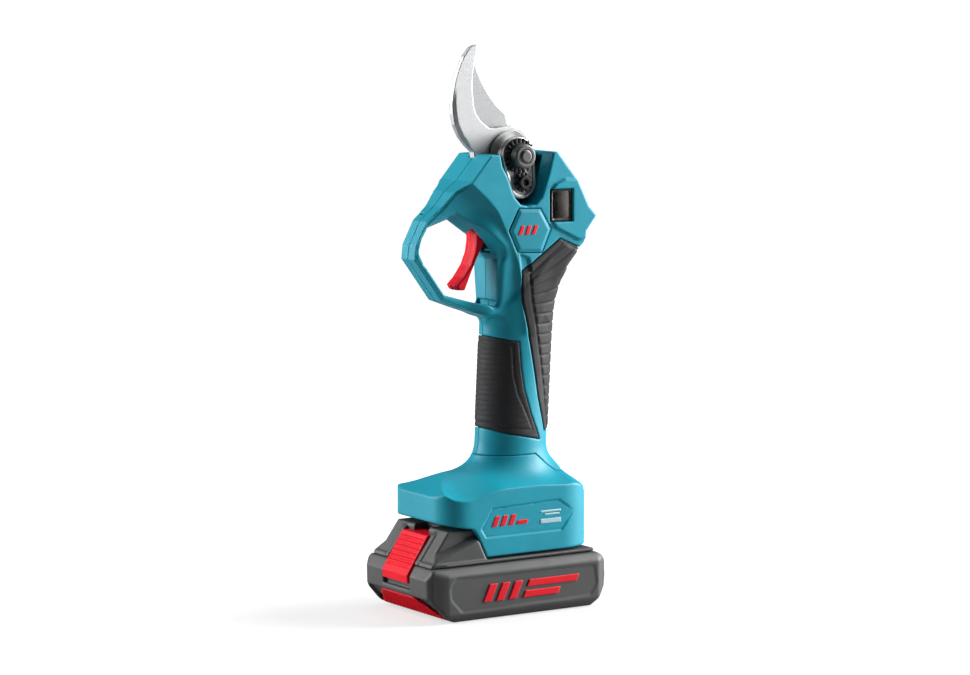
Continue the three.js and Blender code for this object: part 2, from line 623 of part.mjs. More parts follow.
// ---------- foot: the shell under the handle that the battery hangs from ----------
const footProfile = [
  [-46, 55], [-46, 69], [-43.5, 70.6], [-30, 78.6], [-23.5, 79.8], [-8.6, 79.6], [-2, 81.5],
  [0, handleFloor - fit], [38.4, handleFloor - fit], [42, 78.4], [49.6, 70.5], [55.5, 61.9],
  [57.6, 56], [57.6, 41.3], [55.4, 36.6], [54.8, 34.2], [-18, 34.2], [-23.7, 46.3],
  [-26.6, 50.8], [-44, 54.4],
]
const footPlan = [
  [-46, -18], [-44.6, -22.4], [-41, -26.4], [-35, -29.6], [-28, -31], [38, -31], [46, -29], [52, -24.5],
  [55.8, -18], [57.6, -10], [57.6, 10], [55.8, 18], [52, 24.5], [46, 29], [38, 31], [-28, 31], [-35, 29.6],
  [-41, 26.4], [-44.6, 22.4], [-46, 18],
]
const footSection = [
  [-31, 30], [31, 30], [31, 67.6], [26.5, 73], [20.2, 80], [18, handleFloor],
  [-18, handleFloor], [-20.2, 80], [-26.5, 73], [-31, 67.6],
]
const rail = { low: 34.6, high: 37.4, reach: 3.2, front: -15, rear: 45 }

// The battery's tower seen from above, as a tall solid: grow widens it, reach moves its rear end back.
function channelPlan(grow, reach) {
  const half = battery.lidHalfWidth + grow
  const rear = 50 + reach
  return planSolid([
    [-80, -half], [rear - 8.5, -half], [rear - 3.5, -half + 2.6], [rear, -half + 8],
    [rear, half - 8], [rear - 3.5, half - 2.6], [rear - 8.5, half], [-80, half],
  ], 20, 120)
}

function buildFoot() {
  const outside = sideSolid(footProfile, -footHalfWidth, footHalfWidth)
    .intersect(planSolid(footPlan, 20, 100))
    .intersect(frontSolid(footSection, -60, 80))
  const channel = channelPlan(0.6, 2)
    .intersect(box([-80, -footHalfWidth, 20], [80, footHalfWidth, battery.top + 0.6]))
  const rails = [-1, 1].map(side => {
    const low = battery.lidHalfWidth - rail.reach + 0.6
    const high = battery.lidHalfWidth + 1
    const [yLow, yHigh] = side < 0 ? [-high, -low] : [low, high]
    return box([rail.front, yLow, rail.low], [rail.rear, yHigh, rail.high])
  })
  const roomSide = sideSolid([
    [-43.2, 57], [-43.2, 68], [-30, 75.6], [-8, 76.6], [2, 79],
    [36, 79], [46, 69], [54.4, 57], [54.4, 54], [-24, 54],
  ], -28, 28)
  const roomSection = frontSolid([
    [-28.2, 53.6], [28.2, 53.6], [28.2, 66.4], [17.4, 79.5], [-17.4, 79.5], [-28.2, 66.4],
  ], -50, 80)
  const roomPlan = planSolid([
    [-43.2, -17], [-37, -25], [-27, -28.2], [36, -28.2], [48, -24], [54.4, -14],
    [54.4, 14], [48, 24], [36, 28.2], [-27, 28.2], [-37, 25], [-43.2, 17],
  ], 20, 100)
  const room = roomSide.intersect(roomSection).intersect(roomPlan)
  // The spigot stands up into the handle's open end; the throat runs down through it.
  const spigotInset = wall + 2 * fit
  const throatInset = spigotInset + 2
  const spigot = leaningHandle(
    handle.a - spigotInset, handle.b - spigotInset, handleFloor - 8, handleFloor + 5,
  )
  const throat = leaningHandle(
    handle.a - throatInset, handle.b - throatInset, handleFloor - 20, handleFloor + 6,
  )
  const socket = box([19.7, -16.3, battery.top], [44.3, 16.3, 56])
  const shell = cut(join(cut(outside, channel), ...rails, spigot), room, throat, socket)
  const boardPosts = [-34, 10].flatMap(x => [-11, 11].map(y => rodZ(x, y, 2, 52, 59.9, 10)))
  const foot = join(shell, ...boardPosts)
  add('battery_foot', foot, 'teal')

  const block = join(
    box([20, -16, battery.top + 0.8], [44, 16, 55.5]),
    box([20, -14, 43], [44, 14, battery.top + 1]),
    box([18, -18, 54.2], [46, 18, 57.5]),
  )
  const blades = [-8, 0, 8].map(y => box([12, y - 0.4, 44], [26, y + 0.4, 49]))
  const slots = [-8, 0, 8].map(y => box([19, y - 0.45, 43.95], [26.05, y + 0.45, 49.05]))
  add('terminal_block', cut(block, ...slots), 'black')
  blades.forEach((blade, index) => add(`terminal_blade_${index + 1}`, blade, 'brass'))
  add('control_board', box([-38, -15, 60], [14, 15, 61.6]), 'board')
}

// ---------- battery ----------
const caseProfile = [
  [-48, 3], [-41.5, 0], [50.7, 0], [60.2, 10.7], [61.2, 16.7], [60.6, 25.7], [58.8, 28.4],
  [54.7, battery.parting], [-55.3, battery.parting], [-59.5, 25], [-59, 14.2],
]
const casePlan = [
  [-60, -31.5], [-56.5, -34.6], [-47, -37.5], [54, -37.5], [61.4, -33], [61.4, 33], [54, 37.5], [-47, 37.5],
  [-56.5, 34.6], [-60, 31.5],
]
const caseSection = [
  [-34, 0], [34, 0], [37.5, 5], [37.5, 26.5], [33.2, battery.parting], [-33.2, battery.parting],
  [-37.5, 26.5], [-37.5, 5],
]
const buttonHalfWidth = 13.5
const buttonFace = { low: [-60.4, 25.6], high: [-46.6, 46.8] }
const buttonProfile = [
  [-59.9, 21], buttonFace.low, buttonFace.high, [-42.6, 46.8], [-42.6, 43], [-57, 24.6], [-57, 21],
]
const buttonPocket = [
  [-70, 17.4], [-56.6, 17.4], [-56.6, 21], [-42.2, 39.4], [-42.2, 47.2], [-43.4, 52], [-70, 52],
]

function buildBattery() {
  const outside = sideSolid(caseProfile, -battery.halfWidth, battery.halfWidth)
    .intersect(planSolid(casePlan, -1, 32))
    .intersect(frontSolid(caseSection, -80, 80))
  const pocket = sideSolid(buttonPocket, -buttonHalfWidth - 0.5, buttonHalfWidth + 0.5)
  const cellRoom = join(
    box([-49, -34.6, 4.6], [49, 34.6, 25.2]),
    box([-49, -30, 25], [49, 30, battery.parting + 1]),
  )
  const trimSeat = sideSolid([[-70, 14.1], [-56.7, 14.1], [-45.6, 2.9], [-46.5, -1], [-70, -1]], -33, 33)
  const insets = [-1, 1].map(side => {
    const [yLow, yHigh] = side < 0 ? [-40, -battery.halfWidth + 0.7] : [battery.halfWidth - 0.7, 40]
    return sideSolid([
      [-38.4, 5.5], [-46, 14], [-46.4, 20.5], [-42.6, 25.5], [52.3, 24.4], [54.3, 13.3], [49.6, 8.8],
    ], yLow, yHigh)
  })
  add('battery_case', cut(outside, pocket, cellRoom, trimSeat, ...insets), 'charcoal')

  const half = battery.lidHalfWidth
  const lidBase = battery.parting + 0.1
  const tower = sideSolid([
    [-55.2, lidBase], [-41.3, battery.top], [50, battery.top], [50, lidBase],
  ], -half, half).intersect(channelPlan(0, 0))
  // In front of the foot's skirt the lid is as wide as the foot, with sloping shoulders.
  const nose = sideSolid([
    [-55.2, lidBase], [-41.3, battery.top], [-27.4, battery.top], [-24.6, 46.1],
    [-18.8, 34], [-18.8, lidBase],
  ], -footHalfWidth, footHalfWidth)
    .intersect(frontSolid([
      [-31, lidBase], [31, lidBase], [31, 36], [20, battery.top], [-20, battery.top], [-31, 36],
    ], -60, 0))
  const flangePlan = [
    [-55.2, -29], [-50, -33], [50, -33], [53.6, -30], [53.6, 30], [50, 33], [-50, 33], [-55.2, 29],
  ]
  const lid = join(tower, nose, planSolid(flangePlan, lidBase, lidBase + 1.9, 0.8))
  const grooves = [-1, 1].map(side => {
    const low = half - rail.reach - 2 * fit
    const high = half + 1
    const [yLow, yHigh] = side < 0 ? [-high, -low] : [low, high]
    return box([rail.front - 1, yLow, rail.low - 0.5], [80, yHigh, rail.high + 0.5])
  })
  const springWell = rodZ(-38.6, 0, 3.4, 36, 60, 20)
  const latchWell = box([-45, -7.4, 38.6], [-33.6, 7.4, 60])
  const lidRoom = box([-31, -21, lidBase - 1], [10, 21, 47.6])
  const terminalSlot = box([19.4, -14.5, 42.4], [80, 14.5, 60])
  const bladeSlots = [-8, 0, 8].map(y => box([11.4, y - 0.7, 43.4], [20, y + 0.7, 60]))
  const openings = [pocket, ...grooves, springWell, latchWell, lidRoom, terminalSlot, ...bladeSlots]
  add('battery_lid', cut(lid, ...openings), 'charcoal')

  for (let index = 0; index < 5; index += 1) {
    const x = (index - 2) * cell.pitch
    const can = rodY(x, cell.z, cell.r, -cell.length / 2, cell.length / 2, 20)
    const tip = rodY(x, cell.z, 2.8, cell.length / 2 - 0.1, cell.length / 2 + 0.6, 10)
    add(`cell_${index + 1}`, join(can, tip), 'cellWrap')
  }
  add('cell_board', box([-28, -19, 34], [8, 19, 35.6]), 'board')

  const ribs = Array.from({ length: 7 }, (_, index) => {
    const along = 0.12 + index * 0.125
    const x = THREE.MathUtils.lerp(buttonFace.low[0], buttonFace.high[0], along)
    const z = THREE.MathUtils.lerp(buttonFace.low[1], buttonFace.high[1], along)
    return rodY(x - 0.9, z + 0.6, 1, -buttonHalfWidth + 2, buttonHalfWidth - 2, 8)
  })
  const face = sideSolid(buttonProfile, -buttonHalfWidth, buttonHalfWidth)
  const latch = box([-44, -7, 42.6], [-34, 7, 46.8])
  add('release_button', cut(join(face, latch), ...ribs), 'red')
  add('button_spring', coil(-38.6, 0, 36.2, 42.4, 2.6, 0.45, 4), 'darkSteel')

  const trimHalf = 32.4
  const trimPlan = [
    [-60, -17], [-44, -trimHalf], [-40, -trimHalf], [-40, trimHalf], [-44, trimHalf], [-60, 17],
  ]
  const trimProfile = [[-59, 13.9], [-56.95, 13.9], [-45.9, 2.75], [-46.4, 2.2], [-48, 3]]
  const trim = sideSolid(trimProfile, -trimHalf, trimHalf).intersect(planSolid(trimPlan, -1, 20))
  add('battery_trim', trim, 'red')
}

buildShells()
buildTrim()
add('fixed_blade', buildFixedBlade(), 'bladeSteel')
add('moving_blade', buildMovingBlade(), 'darkSteel')
add('blade_seat', buildSeat(), 'castAluminium')
buildPivotHardware()
add('blade_sector', buildSector(), 'darkSteel')
add('bevel_pinion', buildPinion(), 'darkSteel')
buildGearbox()
buildMotor()
buildTrigger()
buildSwitch()
buildFoot()
buildBattery()

export default part
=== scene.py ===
import json
import math

import bpy
import numpy as np
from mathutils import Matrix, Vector


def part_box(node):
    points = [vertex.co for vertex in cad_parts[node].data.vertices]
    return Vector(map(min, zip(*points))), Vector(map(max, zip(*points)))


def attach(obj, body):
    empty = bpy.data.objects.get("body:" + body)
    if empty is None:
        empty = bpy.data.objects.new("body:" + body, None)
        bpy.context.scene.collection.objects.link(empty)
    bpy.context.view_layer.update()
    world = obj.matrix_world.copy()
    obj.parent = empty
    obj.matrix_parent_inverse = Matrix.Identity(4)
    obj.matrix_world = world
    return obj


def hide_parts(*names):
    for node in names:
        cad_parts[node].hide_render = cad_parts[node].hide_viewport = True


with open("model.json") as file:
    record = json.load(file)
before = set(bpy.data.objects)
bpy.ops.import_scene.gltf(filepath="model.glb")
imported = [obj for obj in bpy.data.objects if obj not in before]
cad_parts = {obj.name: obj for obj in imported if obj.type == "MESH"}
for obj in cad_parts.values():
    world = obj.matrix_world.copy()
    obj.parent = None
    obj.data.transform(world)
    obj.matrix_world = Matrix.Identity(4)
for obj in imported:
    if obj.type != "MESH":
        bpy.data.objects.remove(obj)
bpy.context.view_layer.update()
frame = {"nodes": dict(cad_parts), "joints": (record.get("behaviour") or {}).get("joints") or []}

# Shapes are worked out in millimetres in the row frame, and made into meshes in metres.
# +Z is up, -X is the front, -Y is the side that carries the pivot nut.
MM = 0.001


def joint_place(name):
    """Where a hinge stands, in millimetres."""
    joint = next(j for j in frame["joints"] if j["name"] == name)
    return np.array(joint["pos_m"]) / MM


def cad_box(node):
    low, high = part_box(node)
    return np.array(low) / MM, np.array(high) / MM


# ------------------------------------------------------------------ places taken from the frame
PIVOT_X, _, PIVOT_Z = joint_place("blade_swing")
TRIGGER_X, _, TRIGGER_Z = joint_place("trigger_pull")
MOTOR_X = joint_place("rotor_turn")[0]
lock_low, lock_high = cad_box("lock_gear")
LOCK_X = (lock_low[0] + lock_high[0]) / 2
LOCK_Z = (lock_low[2] + lock_high[2]) / 2
shell_low, shell_high = cad_box("housing_right")
HEAD_HALF = -shell_low[1]
HANDLE_FLOOR = shell_low[2]
foot_low, foot_high = cad_box("battery_foot")
FOOT_HALF = foot_high[1]
case_low, case_high = cad_box("battery_case")
CASE_HALF = case_high[1]
lid_low, lid_high = cad_box("battery_lid")
grip_low = cad_box("front_grip")[0]
slot_low, slot_high = cad_box("strap_slot_liner")
fixed_low, fixed_high = cad_box("fixed_blade")
moving_low, moving_high = cad_box("moving_blade")
# The handle is a leaning oval: A along X, B along Y, X where its axis is at the height MIDDLE.
HANDLE_A = 22.0
HANDLE_B = HEAD_HALF
HANDLE_LEAN = 0.05
HANDLE_X = 19.6
HANDLE_MIDDLE = 130.0
# The blades' bore runs free on the bolt, the guard is narrow, and the front of the head is scooped.
BOLT_BORE = 4.05
GUARD_HALF = 5.4
SCOOP_DEPTH = 9.5
PANEL_RISE = 1.3
LEDGE_Z = PIVOT_Z - 83.2
FOOT_TOP = 82.2


# ------------------------------------------------------------------ distance fields
def soft_max(a, b, blend):
    """The larger of two distances, with the crease between them rounded over blend."""
    near = np.maximum(blend - np.abs(a - b), 0) / blend
    return np.maximum(a, b) + near * near * blend / 4


def soft_min(a, b, blend):
    return -soft_max(-a, -b, blend)


def smooth_step(value, low, high):
    t = np.clip((value - low) / (high - low), 0, 1)
    return t * t * (3 - 2 * t)


def polygon(points):
    """Signed distance to a closed outline in a plane, as a function of the two coordinates."""
    corners = np.array(points, float)

    def distance(u, v):
        nearest = np.inf
        inside = False
        for start, end in zip(corners, np.roll(corners, -1, axis=0)):
            edge = end - start
            along = np.clip(((u - start[0]) * edge[0] + (v - start[1]) * edge[1]) / (edge @ edge), 0, 1)
            gap = (u - start[0] - along * edge[0]) ** 2 + (v - start[1] - along * edge[1]) ** 2
            nearest = np.minimum(nearest, gap)
            if edge[1] != 0:
                between = (start[1] > v) != (end[1] > v)
                left = u < start[0] + edge[0] * (v - start[1]) / edge[1]
                inside = inside ^ (between & left)
        return np.where(inside, -1, 1) * np.sqrt(nearest)

    return distance


def block(x, y, z, low, high, rounding=0.5):
    """Distance to a box with rounded edges."""
    middle = [(a + b) / 2 for a, b in zip(low, high)]
    half = [(b - a) / 2 for a, b in zip(low, high)]
    result = np.abs(x - middle[0]) - half[0]
    result = soft_max(result, np.abs(y - middle[1]) - half[1], rounding)
    return soft_max(result, np.abs(z - middle[2]) - half[2], rounding)


def disc(x, z, radius, centre_x, centre_z):
    return np.sqrt((x - centre_x) ** 2 + (z - centre_z) ** 2) - radius


# ------------------------------------------------------------------ meshes from fields
def field_mesh(field, low, high, step):
    """Surface nets: one point per crossed cell, moved onto the surface, joined into quads."""
    axes = [np.arange(a - 1.5 * step, b + 2.5 * step, step) for a, b in zip(low, high)]
    shape = tuple(len(axis) for axis in axes)
    grid = np.meshgrid(*axes, indexing="ij", sparse=True)
    values = np.broadcast_to(field(*grid), shape)
    inside = values < 0
    cells = tuple(n - 1 for n in shape)
    strides = np.array([cells[1] * cells[2], cells[2], 1])
    total = np.zeros((3, int(np.prod(cells))))
    count = np.zeros(int(np.prod(cells)))
    quads = []
    for axis in range(3):
        low_slice = [slice(None)] * 3
        high_slice = [slice(None)] * 3
        low_slice[axis] = slice(0, -1)
        high_slice[axis] = slice(1, None)
        first = inside[tuple(low_slice)]
        second = inside[tuple(high_slice)]
        across = [other for other in range(3) if other != axis]
        crossed = first != second
        for other in across:
            edge = [slice(None)] * 3
            edge[other] = slice(0, 1)
            crossed[tuple(edge)] = False
            edge[other] = slice(-1, None)
            crossed[tuple(edge)] = False
        where = np.array(np.nonzero(crossed))
        value_low = values[tuple(low_slice)][crossed]
        value_high = values[tuple(high_slice)][crossed]
        point = where.astype(float)
        point[axis] += value_low / (value_low - value_high)
        base = strides @ where
        shift_a = strides[across[0]]
        shift_b = strides[across[1]]
        around = np.array([base - shift_a - shift_b, base - shift_b, base, base - shift_a])
        for corner in around:
            for dimension in range(3):
                total[dimension] += np.bincount(corner, weights=point[dimension], minlength=len(count))
            count += np.bincount(corner, minlength=len(count))
        entering = second[crossed] if axis != 1 else ~second[crossed]
        quads.append(np.where(entering, around[::-1], around).T)
    used = np.nonzero(count)[0]
    numbers = np.full(len(count), -1)
    numbers[used] = np.arange(len(used))
    points = (total[:, used] / count[used]).T * step + np.array([axis[0] for axis in axes])
    faces = numbers[np.concatenate(quads)]
    return settle(field, points, step), faces


def settle(field, points, step):
    """Newton steps that put each point on the surface itself."""
    small = 0.05 * step
    for _ in range(3):
        x, y, z = points.T
        value = field(x, y, z)
        gradient = np.stack([
            field(x + small, y, z) - field(x - small, y, z),
            field(x, y + small, z) - field(x, y - small, z),
            field(x, y, z + small) - field(x, y, z - small),
        ], axis=1) / (2 * small)
        length = np.maximum(np.sum(gradient ** 2, axis=1), 0.2)
        move = gradient * (value / length)[:, None]
        size = np.maximum(np.linalg.norm(move, axis=1), 1e-9)
        points = points - move * np.minimum(1, 0.6 * step / size)[:, None]
    return points


def add_mesh(name, points, faces, material, body, replaced):
    mesh = bpy.data.meshes.new(name)
    mesh.vertices.add(len(points))
    mesh.vertices.foreach_set("co", (points * MM).astype(np.float32).ravel())
    mesh.loops.add(faces.size)
    mesh.loops.foreach_set("vertex_index", faces.astype(np.int32).ravel())
    mesh.polygons.add(len(faces))
    mesh.polygons.foreach_set("loop_start", np.arange(0, faces.size, 4, dtype=np.int32))
    mesh.polygons.foreach_set("use_smooth", np.ones(len(faces), bool))
    mesh.update(calc_edges=True)
    mesh.validate()
    mesh.materials.append(material)
    piece = bpy.data.objects.new(name, mesh)
    bpy.context.scene.collection.objects.link(piece)
    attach(piece, body)
    if replaced:
        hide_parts(*replaced)
    return piece


def add_field(name, field, low, high, step, material, body, replaced=()):
    size = step * 1.0
    points, faces = field_mesh(field, low, high, size)
    return add_mesh(name, points, faces, material, body, replaced)


# ------------------------------------------------------------------ materials
def new_material(name):
    material = bpy.data.materials.new(name)
    material.use_nodes = True
    nodes = material.node_tree.nodes
    return material, nodes, material.node_tree.links, nodes["Principled BSDF"]


def noise(nodes, links, scale, detail=4.0, roughness=0.55, stretch=(1, 1, 1)):
    """Noise in object space, so it stays on the piece as it moves."""
    place = nodes.new("ShaderNodeTexCoord")
    mapping = nodes.new("ShaderNodeMapping")
    mapping.inputs["Scale"].default_value = stretch
    links.new(place.outputs["Object"], mapping.inputs["Vector"])
    texture = nodes.new("ShaderNodeTexNoise")
    texture.inputs["Scale"].default_value = scale
    texture.inputs["Detail"].default_value = detail
    texture.inputs["Roughness"].default_value = roughness
    links.new(mapping.outputs["Vector"], texture.inputs["Vector"])
    return texture.outputs["Fac"]


def spread(nodes, links, value, low, high, out_low, out_high):
    ranged = nodes.new("ShaderNodeMapRange")
    ranged.inputs["From Min"].default_value = low
    ranged.inputs["From Max"].default_value = high
    ranged.inputs["To Min"].default_value = out_low
    ranged.inputs["To Max"].default_value = out_high
    links.new(value, ranged.inputs["Value"])
    return ranged.outputs["Result"]


def mix_color(nodes, links, factor, first, second):
    mix = nodes.new("ShaderNodeMix")
    mix.data_type = "RGBA"
    if isinstance(factor, float):
        mix.inputs["Factor"].default_value = factor
    else:
        links.new(factor, mix.inputs["Factor"])
    for socket, value in (("A", first), ("B", second)):
        place = next(s for s in mix.inputs if s.name == socket and s.type == "RGBA")
        if isinstance(value, tuple):
            place.default_value = (*value, 1)
        else:
            links.new(value, place)
    return next(s for s in mix.outputs if s.type == "RGBA")


def add_bump(nodes, links, shader, heights):
    """A chain of bumps, each a height output, a distance in millimetres and a strength."""
    normal = None
    for height, distance, strength in heights:
        bump = nodes.new("ShaderNodeBump")
        bump.inputs["Distance"].default_value = distance * MM
        bump.inputs["Strength"].default_value = strength
        links.new(height, bump.inputs["Height"])
        if normal:
            links.new(normal, bump.inputs["Normal"])
        normal = bump.outputs["Normal"]
    links.new(normal, shader.inputs["Normal"])


def moulded_plastic(name, color, worn, roughness, grain=1.0, specular=0.5):
    """Plastic with a fine grain, faint colour drift, rubbed edges and painted shade in the hollows."""
    material, nodes, links, shader = new_material(name)
    drift = noise(nodes, links, 45, 3)
    fine = noise(nodes, links, 2600, 2, 0.6)
    smudge = noise(nodes, links, 120, 5, 0.65)
    tone = mix_color(nodes, links, spread(nodes, links, drift, 0.3, 0.7, 0.0, 1.0),
                     tuple(c * 0.93 for c in color), tuple(min(1, c * 1.06) for c in color))
    geometry = nodes.new("ShaderNodeNewGeometry")
    edge = spread(nodes, links, geometry.outputs["Pointiness"], 0.53, 0.6, 0.0, 0.5)
    tone = mix_color(nodes, links, edge, tone, worn)
    # Painted shade: hollows (low pointiness) are mixed toward a darker copy of the colour, as if shade
    # fell in them.
    hollow = spread(nodes, links, geometry.outputs["Pointiness"], 0.47, 0.4, 0.0, 0.35)
    tone = mix_color(nodes, links, hollow, tone, tuple(c * 0.55 for c in color))
    links.new(tone, shader.inputs["Base Color"])
    links.new(spread(nodes, links, smudge, 0.3, 0.75, roughness - 0.06, roughness + 0.1),
              shader.inputs["Roughness"])
    shader.inputs["Specular IOR Level"].default_value = specular
    add_bump(nodes, links, shader, [(smudge, 0.05, 0.25), (fine, 0.02 * grain, 0.5)])
    return material


def metal(name, color, roughness, stretch=(1, 1, 1), brush=0.5, stain=(0.3, 0.28, 0.26)):
    """Steel or aluminium with brush marks along one direction, smears and small dark specks."""
    material, nodes, links, shader = new_material(name)
    marks = noise(nodes, links, 900, 4, 0.7, stretch)
    smear = noise(nodes, links, 60, 5, 0.6)
    specks = noise(nodes, links, 420, 2, 0.5)
    tone = mix_color(nodes, links, spread(nodes, links, smear, 0.35, 0.75, 0.0, 0.35), color,
                     tuple(c * 0.8 for c in color))
    tone = mix_color(nodes, links, spread(nodes, links, specks, 0.72, 0.8, 0.0, 0.3), tone, stain)
    links.new(tone, shader.inputs["Base Color"])
    shader.inputs["Metallic"].default_value = 1.0
    rough = spread(nodes, links, marks, 0.2, 0.8, roughness - 0.07, roughness + 0.13)
    links.new(rough, shader.inputs["Roughness"])
    add_bump(nodes, links, shader, [(smear, 0.03, 0.2), (marks, 0.012, brush)])
    return material


def slot_lining():
    """Polished black plastic with painted light on its inner wall: black at the rim, pale just inside
    it, and darker with depth.
    """
    material, nodes, links, shader = new_material("slot_lining")
    place = nodes.new("ShaderNodeTexCoord")
    parts = nodes.new("ShaderNodeSeparateXYZ")
    links.new(place.outputs["Object"], parts.inputs["Vector"])
    outward = nodes.new("ShaderNodeMath")
    outward.operation = "ABSOLUTE"
    links.new(parts.outputs["Y"], outward.inputs[0])
    rim = HEAD_HALF * MM
    # Painted light: the inner wall is pale just inside the rim, where the left softbox shines through
    # the slot, and fades to black deeper in.
    pale = spread(nodes, links, outward.outputs["Value"], rim - 15 * MM, rim - 2 * MM, 0.0, 1.0)
    at_rim = spread(nodes, links, outward.outputs["Value"], rim - 1.6 * MM, rim - 0.9 * MM, 0.0, 1.0)
    smudge = noise(nodes, links, 160, 4, 0.6)
    light = mix_color(nodes, links, smudge, (0.7, 0.65, 0.62), (0.9, 0.88, 0.86))
    tone = mix_color(nodes, links, pale, (0.008, 0.008, 0.009), light)
    links.new(mix_color(nodes, links, at_rim, tone, (0.01, 0.01, 0.011)), shader.inputs["Base Color"])
    links.new(spread(nodes, links, smudge, 0.3, 0.75, 0.2, 0.36), shader.inputs["Roughness"])
    add_bump(nodes, links, shader, [(smudge, 0.03, 0.3)])
    return material


TEAL = moulded_plastic("teal_plastic", (0.004, 0.285, 0.385), (0.06, 0.43, 0.52), 0.44, 1.0, 0.3)
BADGE = moulded_plastic("badge_plastic", (0.006, 0.25, 0.34), (0.06, 0.38, 0.46), 0.46, 0.5, 0.25)
RUBBER = moulded_plastic("grip_rubber", (0.027, 0.027, 0.029), (0.075, 0.073, 0.07), 0.62, 2.2, 0.24)
CHARCOAL = moulded_plastic("charcoal_plastic", (0.052, 0.053, 0.054), (0.11, 0.11, 0.11), 0.5, 1.8)
RED = moulded_plastic("red_plastic", (0.76, 0.003, 0.018), (0.8, 0.06, 0.07), 0.45, 0.6, 0.17)
GRAPHIC = moulded_plastic("red_ink", (0.72, 0.006, 0.018), (0.78, 0.1, 0.1), 0.45, 1.2, 0.2)
PALE_INK = moulded_plastic("pale_ink", (0.35, 0.55, 0.6), (0.7, 0.8, 0.8), 0.5, 1.2)
BLACK = moulded_plastic("black_plastic", (0.008, 0.008, 0.009), (0.04, 0.04, 0.04), 0.22, 0.5)
LINING = slot_lining()
BLADE = metal("blade_steel", (0.47, 0.475, 0.48), 0.5, (0.15, 1, 1))
# Painted shade: the cutter gets a darker copy of the blade steel, because it sits behind the hook blade
# in shade.
CUTTER_SHADED = metal("cutter_steel_shaded", (0.36, 0.364, 0.368), 0.5, (0.15, 1, 1))
CAST = metal("cast_aluminium", (0.55, 0.555, 0.56), 0.36, (1, 1, 1), 0.4)
BRIGHT = metal("bright_steel", (0.12, 0.12, 0.122), 0.45, (1, 0.1, 1), 0.3)
DARK = metal("dark_steel", (0.035, 0.034, 0.034), 0.5, (1, 0.2, 1), 0.25, (0.02, 0.018, 0.016))
BRASS = metal("brass", (0.75, 0.56, 0.25), 0.35)
COPPER = metal("copper", (0.72, 0.38, 0.2), 0.4)
BOARD = moulded_plastic("circuit_board", (0.01, 0.1, 0.04), (0.1, 0.3, 0.15), 0.45, 0.5)
WRAP = moulded_plastic("cell_wrap", (0.02, 0.12, 0.4), (0.15, 0.3, 0.6), 0.35, 0.4)


# ------------------------------------------------------------------ the handle and head
def from_pivot(points):
    """Side-view points given as offsets from the blade pivot."""
    return [(PIVOT_X + dx, PIVOT_Z + dz) for dx, dz in points]


# The whole body seen from the side, without the hole in the guard.
silhouette = polygon(from_pivot([
    (-22.7, 1.2), (-35, -12.9), (-43.2, -18.9), (-50.1, -27), (-59.4, -34.8), (-66.5, -48.1),
    (-67.4, -56), (-49.3, -80.3), (-36.2, -85.1), (-24.4, -88.9), (-18.2, -91.8), (-16.4, -96),
    (-16, -101), (24, -101), (25.2, -82.5), (26.2, -71.8), (31, -61.7), (41, -50),
    (41.4, -43.7), (48.3, -35.1), (43, -29.5), (34.8, -13.1), (22.4, 1.9), (10, 1.9),
]))
guard_hole = polygon(from_pivot([
    (-41.7, -34.6), (-56.2, -39.3), (-59.9, -45.5), (-62, -52.5), (-61, -58.6), (-47.6, -76.6),
    (-30, -81.5), (-18, -84.3), (-16.2, -83.7), (-15.4, -82), (-15.4, -58), (-29.6, -43),
]))
# Behind this line the head and the handle have their full width.
broad_part = polygon(from_pivot([
    (-23.5, 0.6), (-36, -13.5), (-24.5, -23.5), (-18.3, -30.3), (-13.1, -40.4), (-8.7, -49.7),
    (-4.4, -59.5), (-1.6, -73.5), (-0.6, -86), (0.5, -101), (60, -101), (60, 20), (-20, 20),
]))
rear_panel = polygon(from_pivot([
    (18.6, -18.5), (21, -16.2), (27, -13.6), (70, -17), (70, -44), (37, -48.8), (20.8, -41),
    (18.6, -37.9),
]))
notch = polygon(from_pivot([
    (-15.9, 8), (-15.4, 0.3), (-14.3, -4.9), (-10.3, -12), (-7.6, -19.6), (-5.5, -23.1), (-2, -26.6),
    (2.2, -27.6), (7.2, -26.8), (11, -23), (13.1, -17.2), (16, -8.8), (18.8, 1.9), (18.8, 8),
]))
chevron = polygon(from_pivot([(-3, -55.2), (2.6, -57.8), (4.3, -64.9), (-1.6, -65.7)]))


def handle_column(x, y, z, grow=0.0):
    """The leaning oval handle."""
    across = (x - HANDLE_X - HANDLE_LEAN * (z - HANDLE_MIDDLE))
    a = HANDLE_A + grow
    b = HANDLE_B + grow
    radius = np.sqrt((across / a) ** 2 + (y / b) ** 2) + 1e-9
    slope = np.sqrt((across / a ** 2) ** 2 + (y / b ** 2) ** 2) + 1e-9
    return (radius - 1) * radius / slope


def front_half_width(x, z):
    """Half-width of the part in front of the ridge: least on the guard."""
    toward_head = smooth_step(z, PIVOT_Z - 39, PIVOT_Z - 15)
    toward_handle = smooth_step(x, PIVOT_X - 44, PIVOT_X - 17)
    return GUARD_HALF + 6.0 * np.maximum(toward_head, toward_handle)


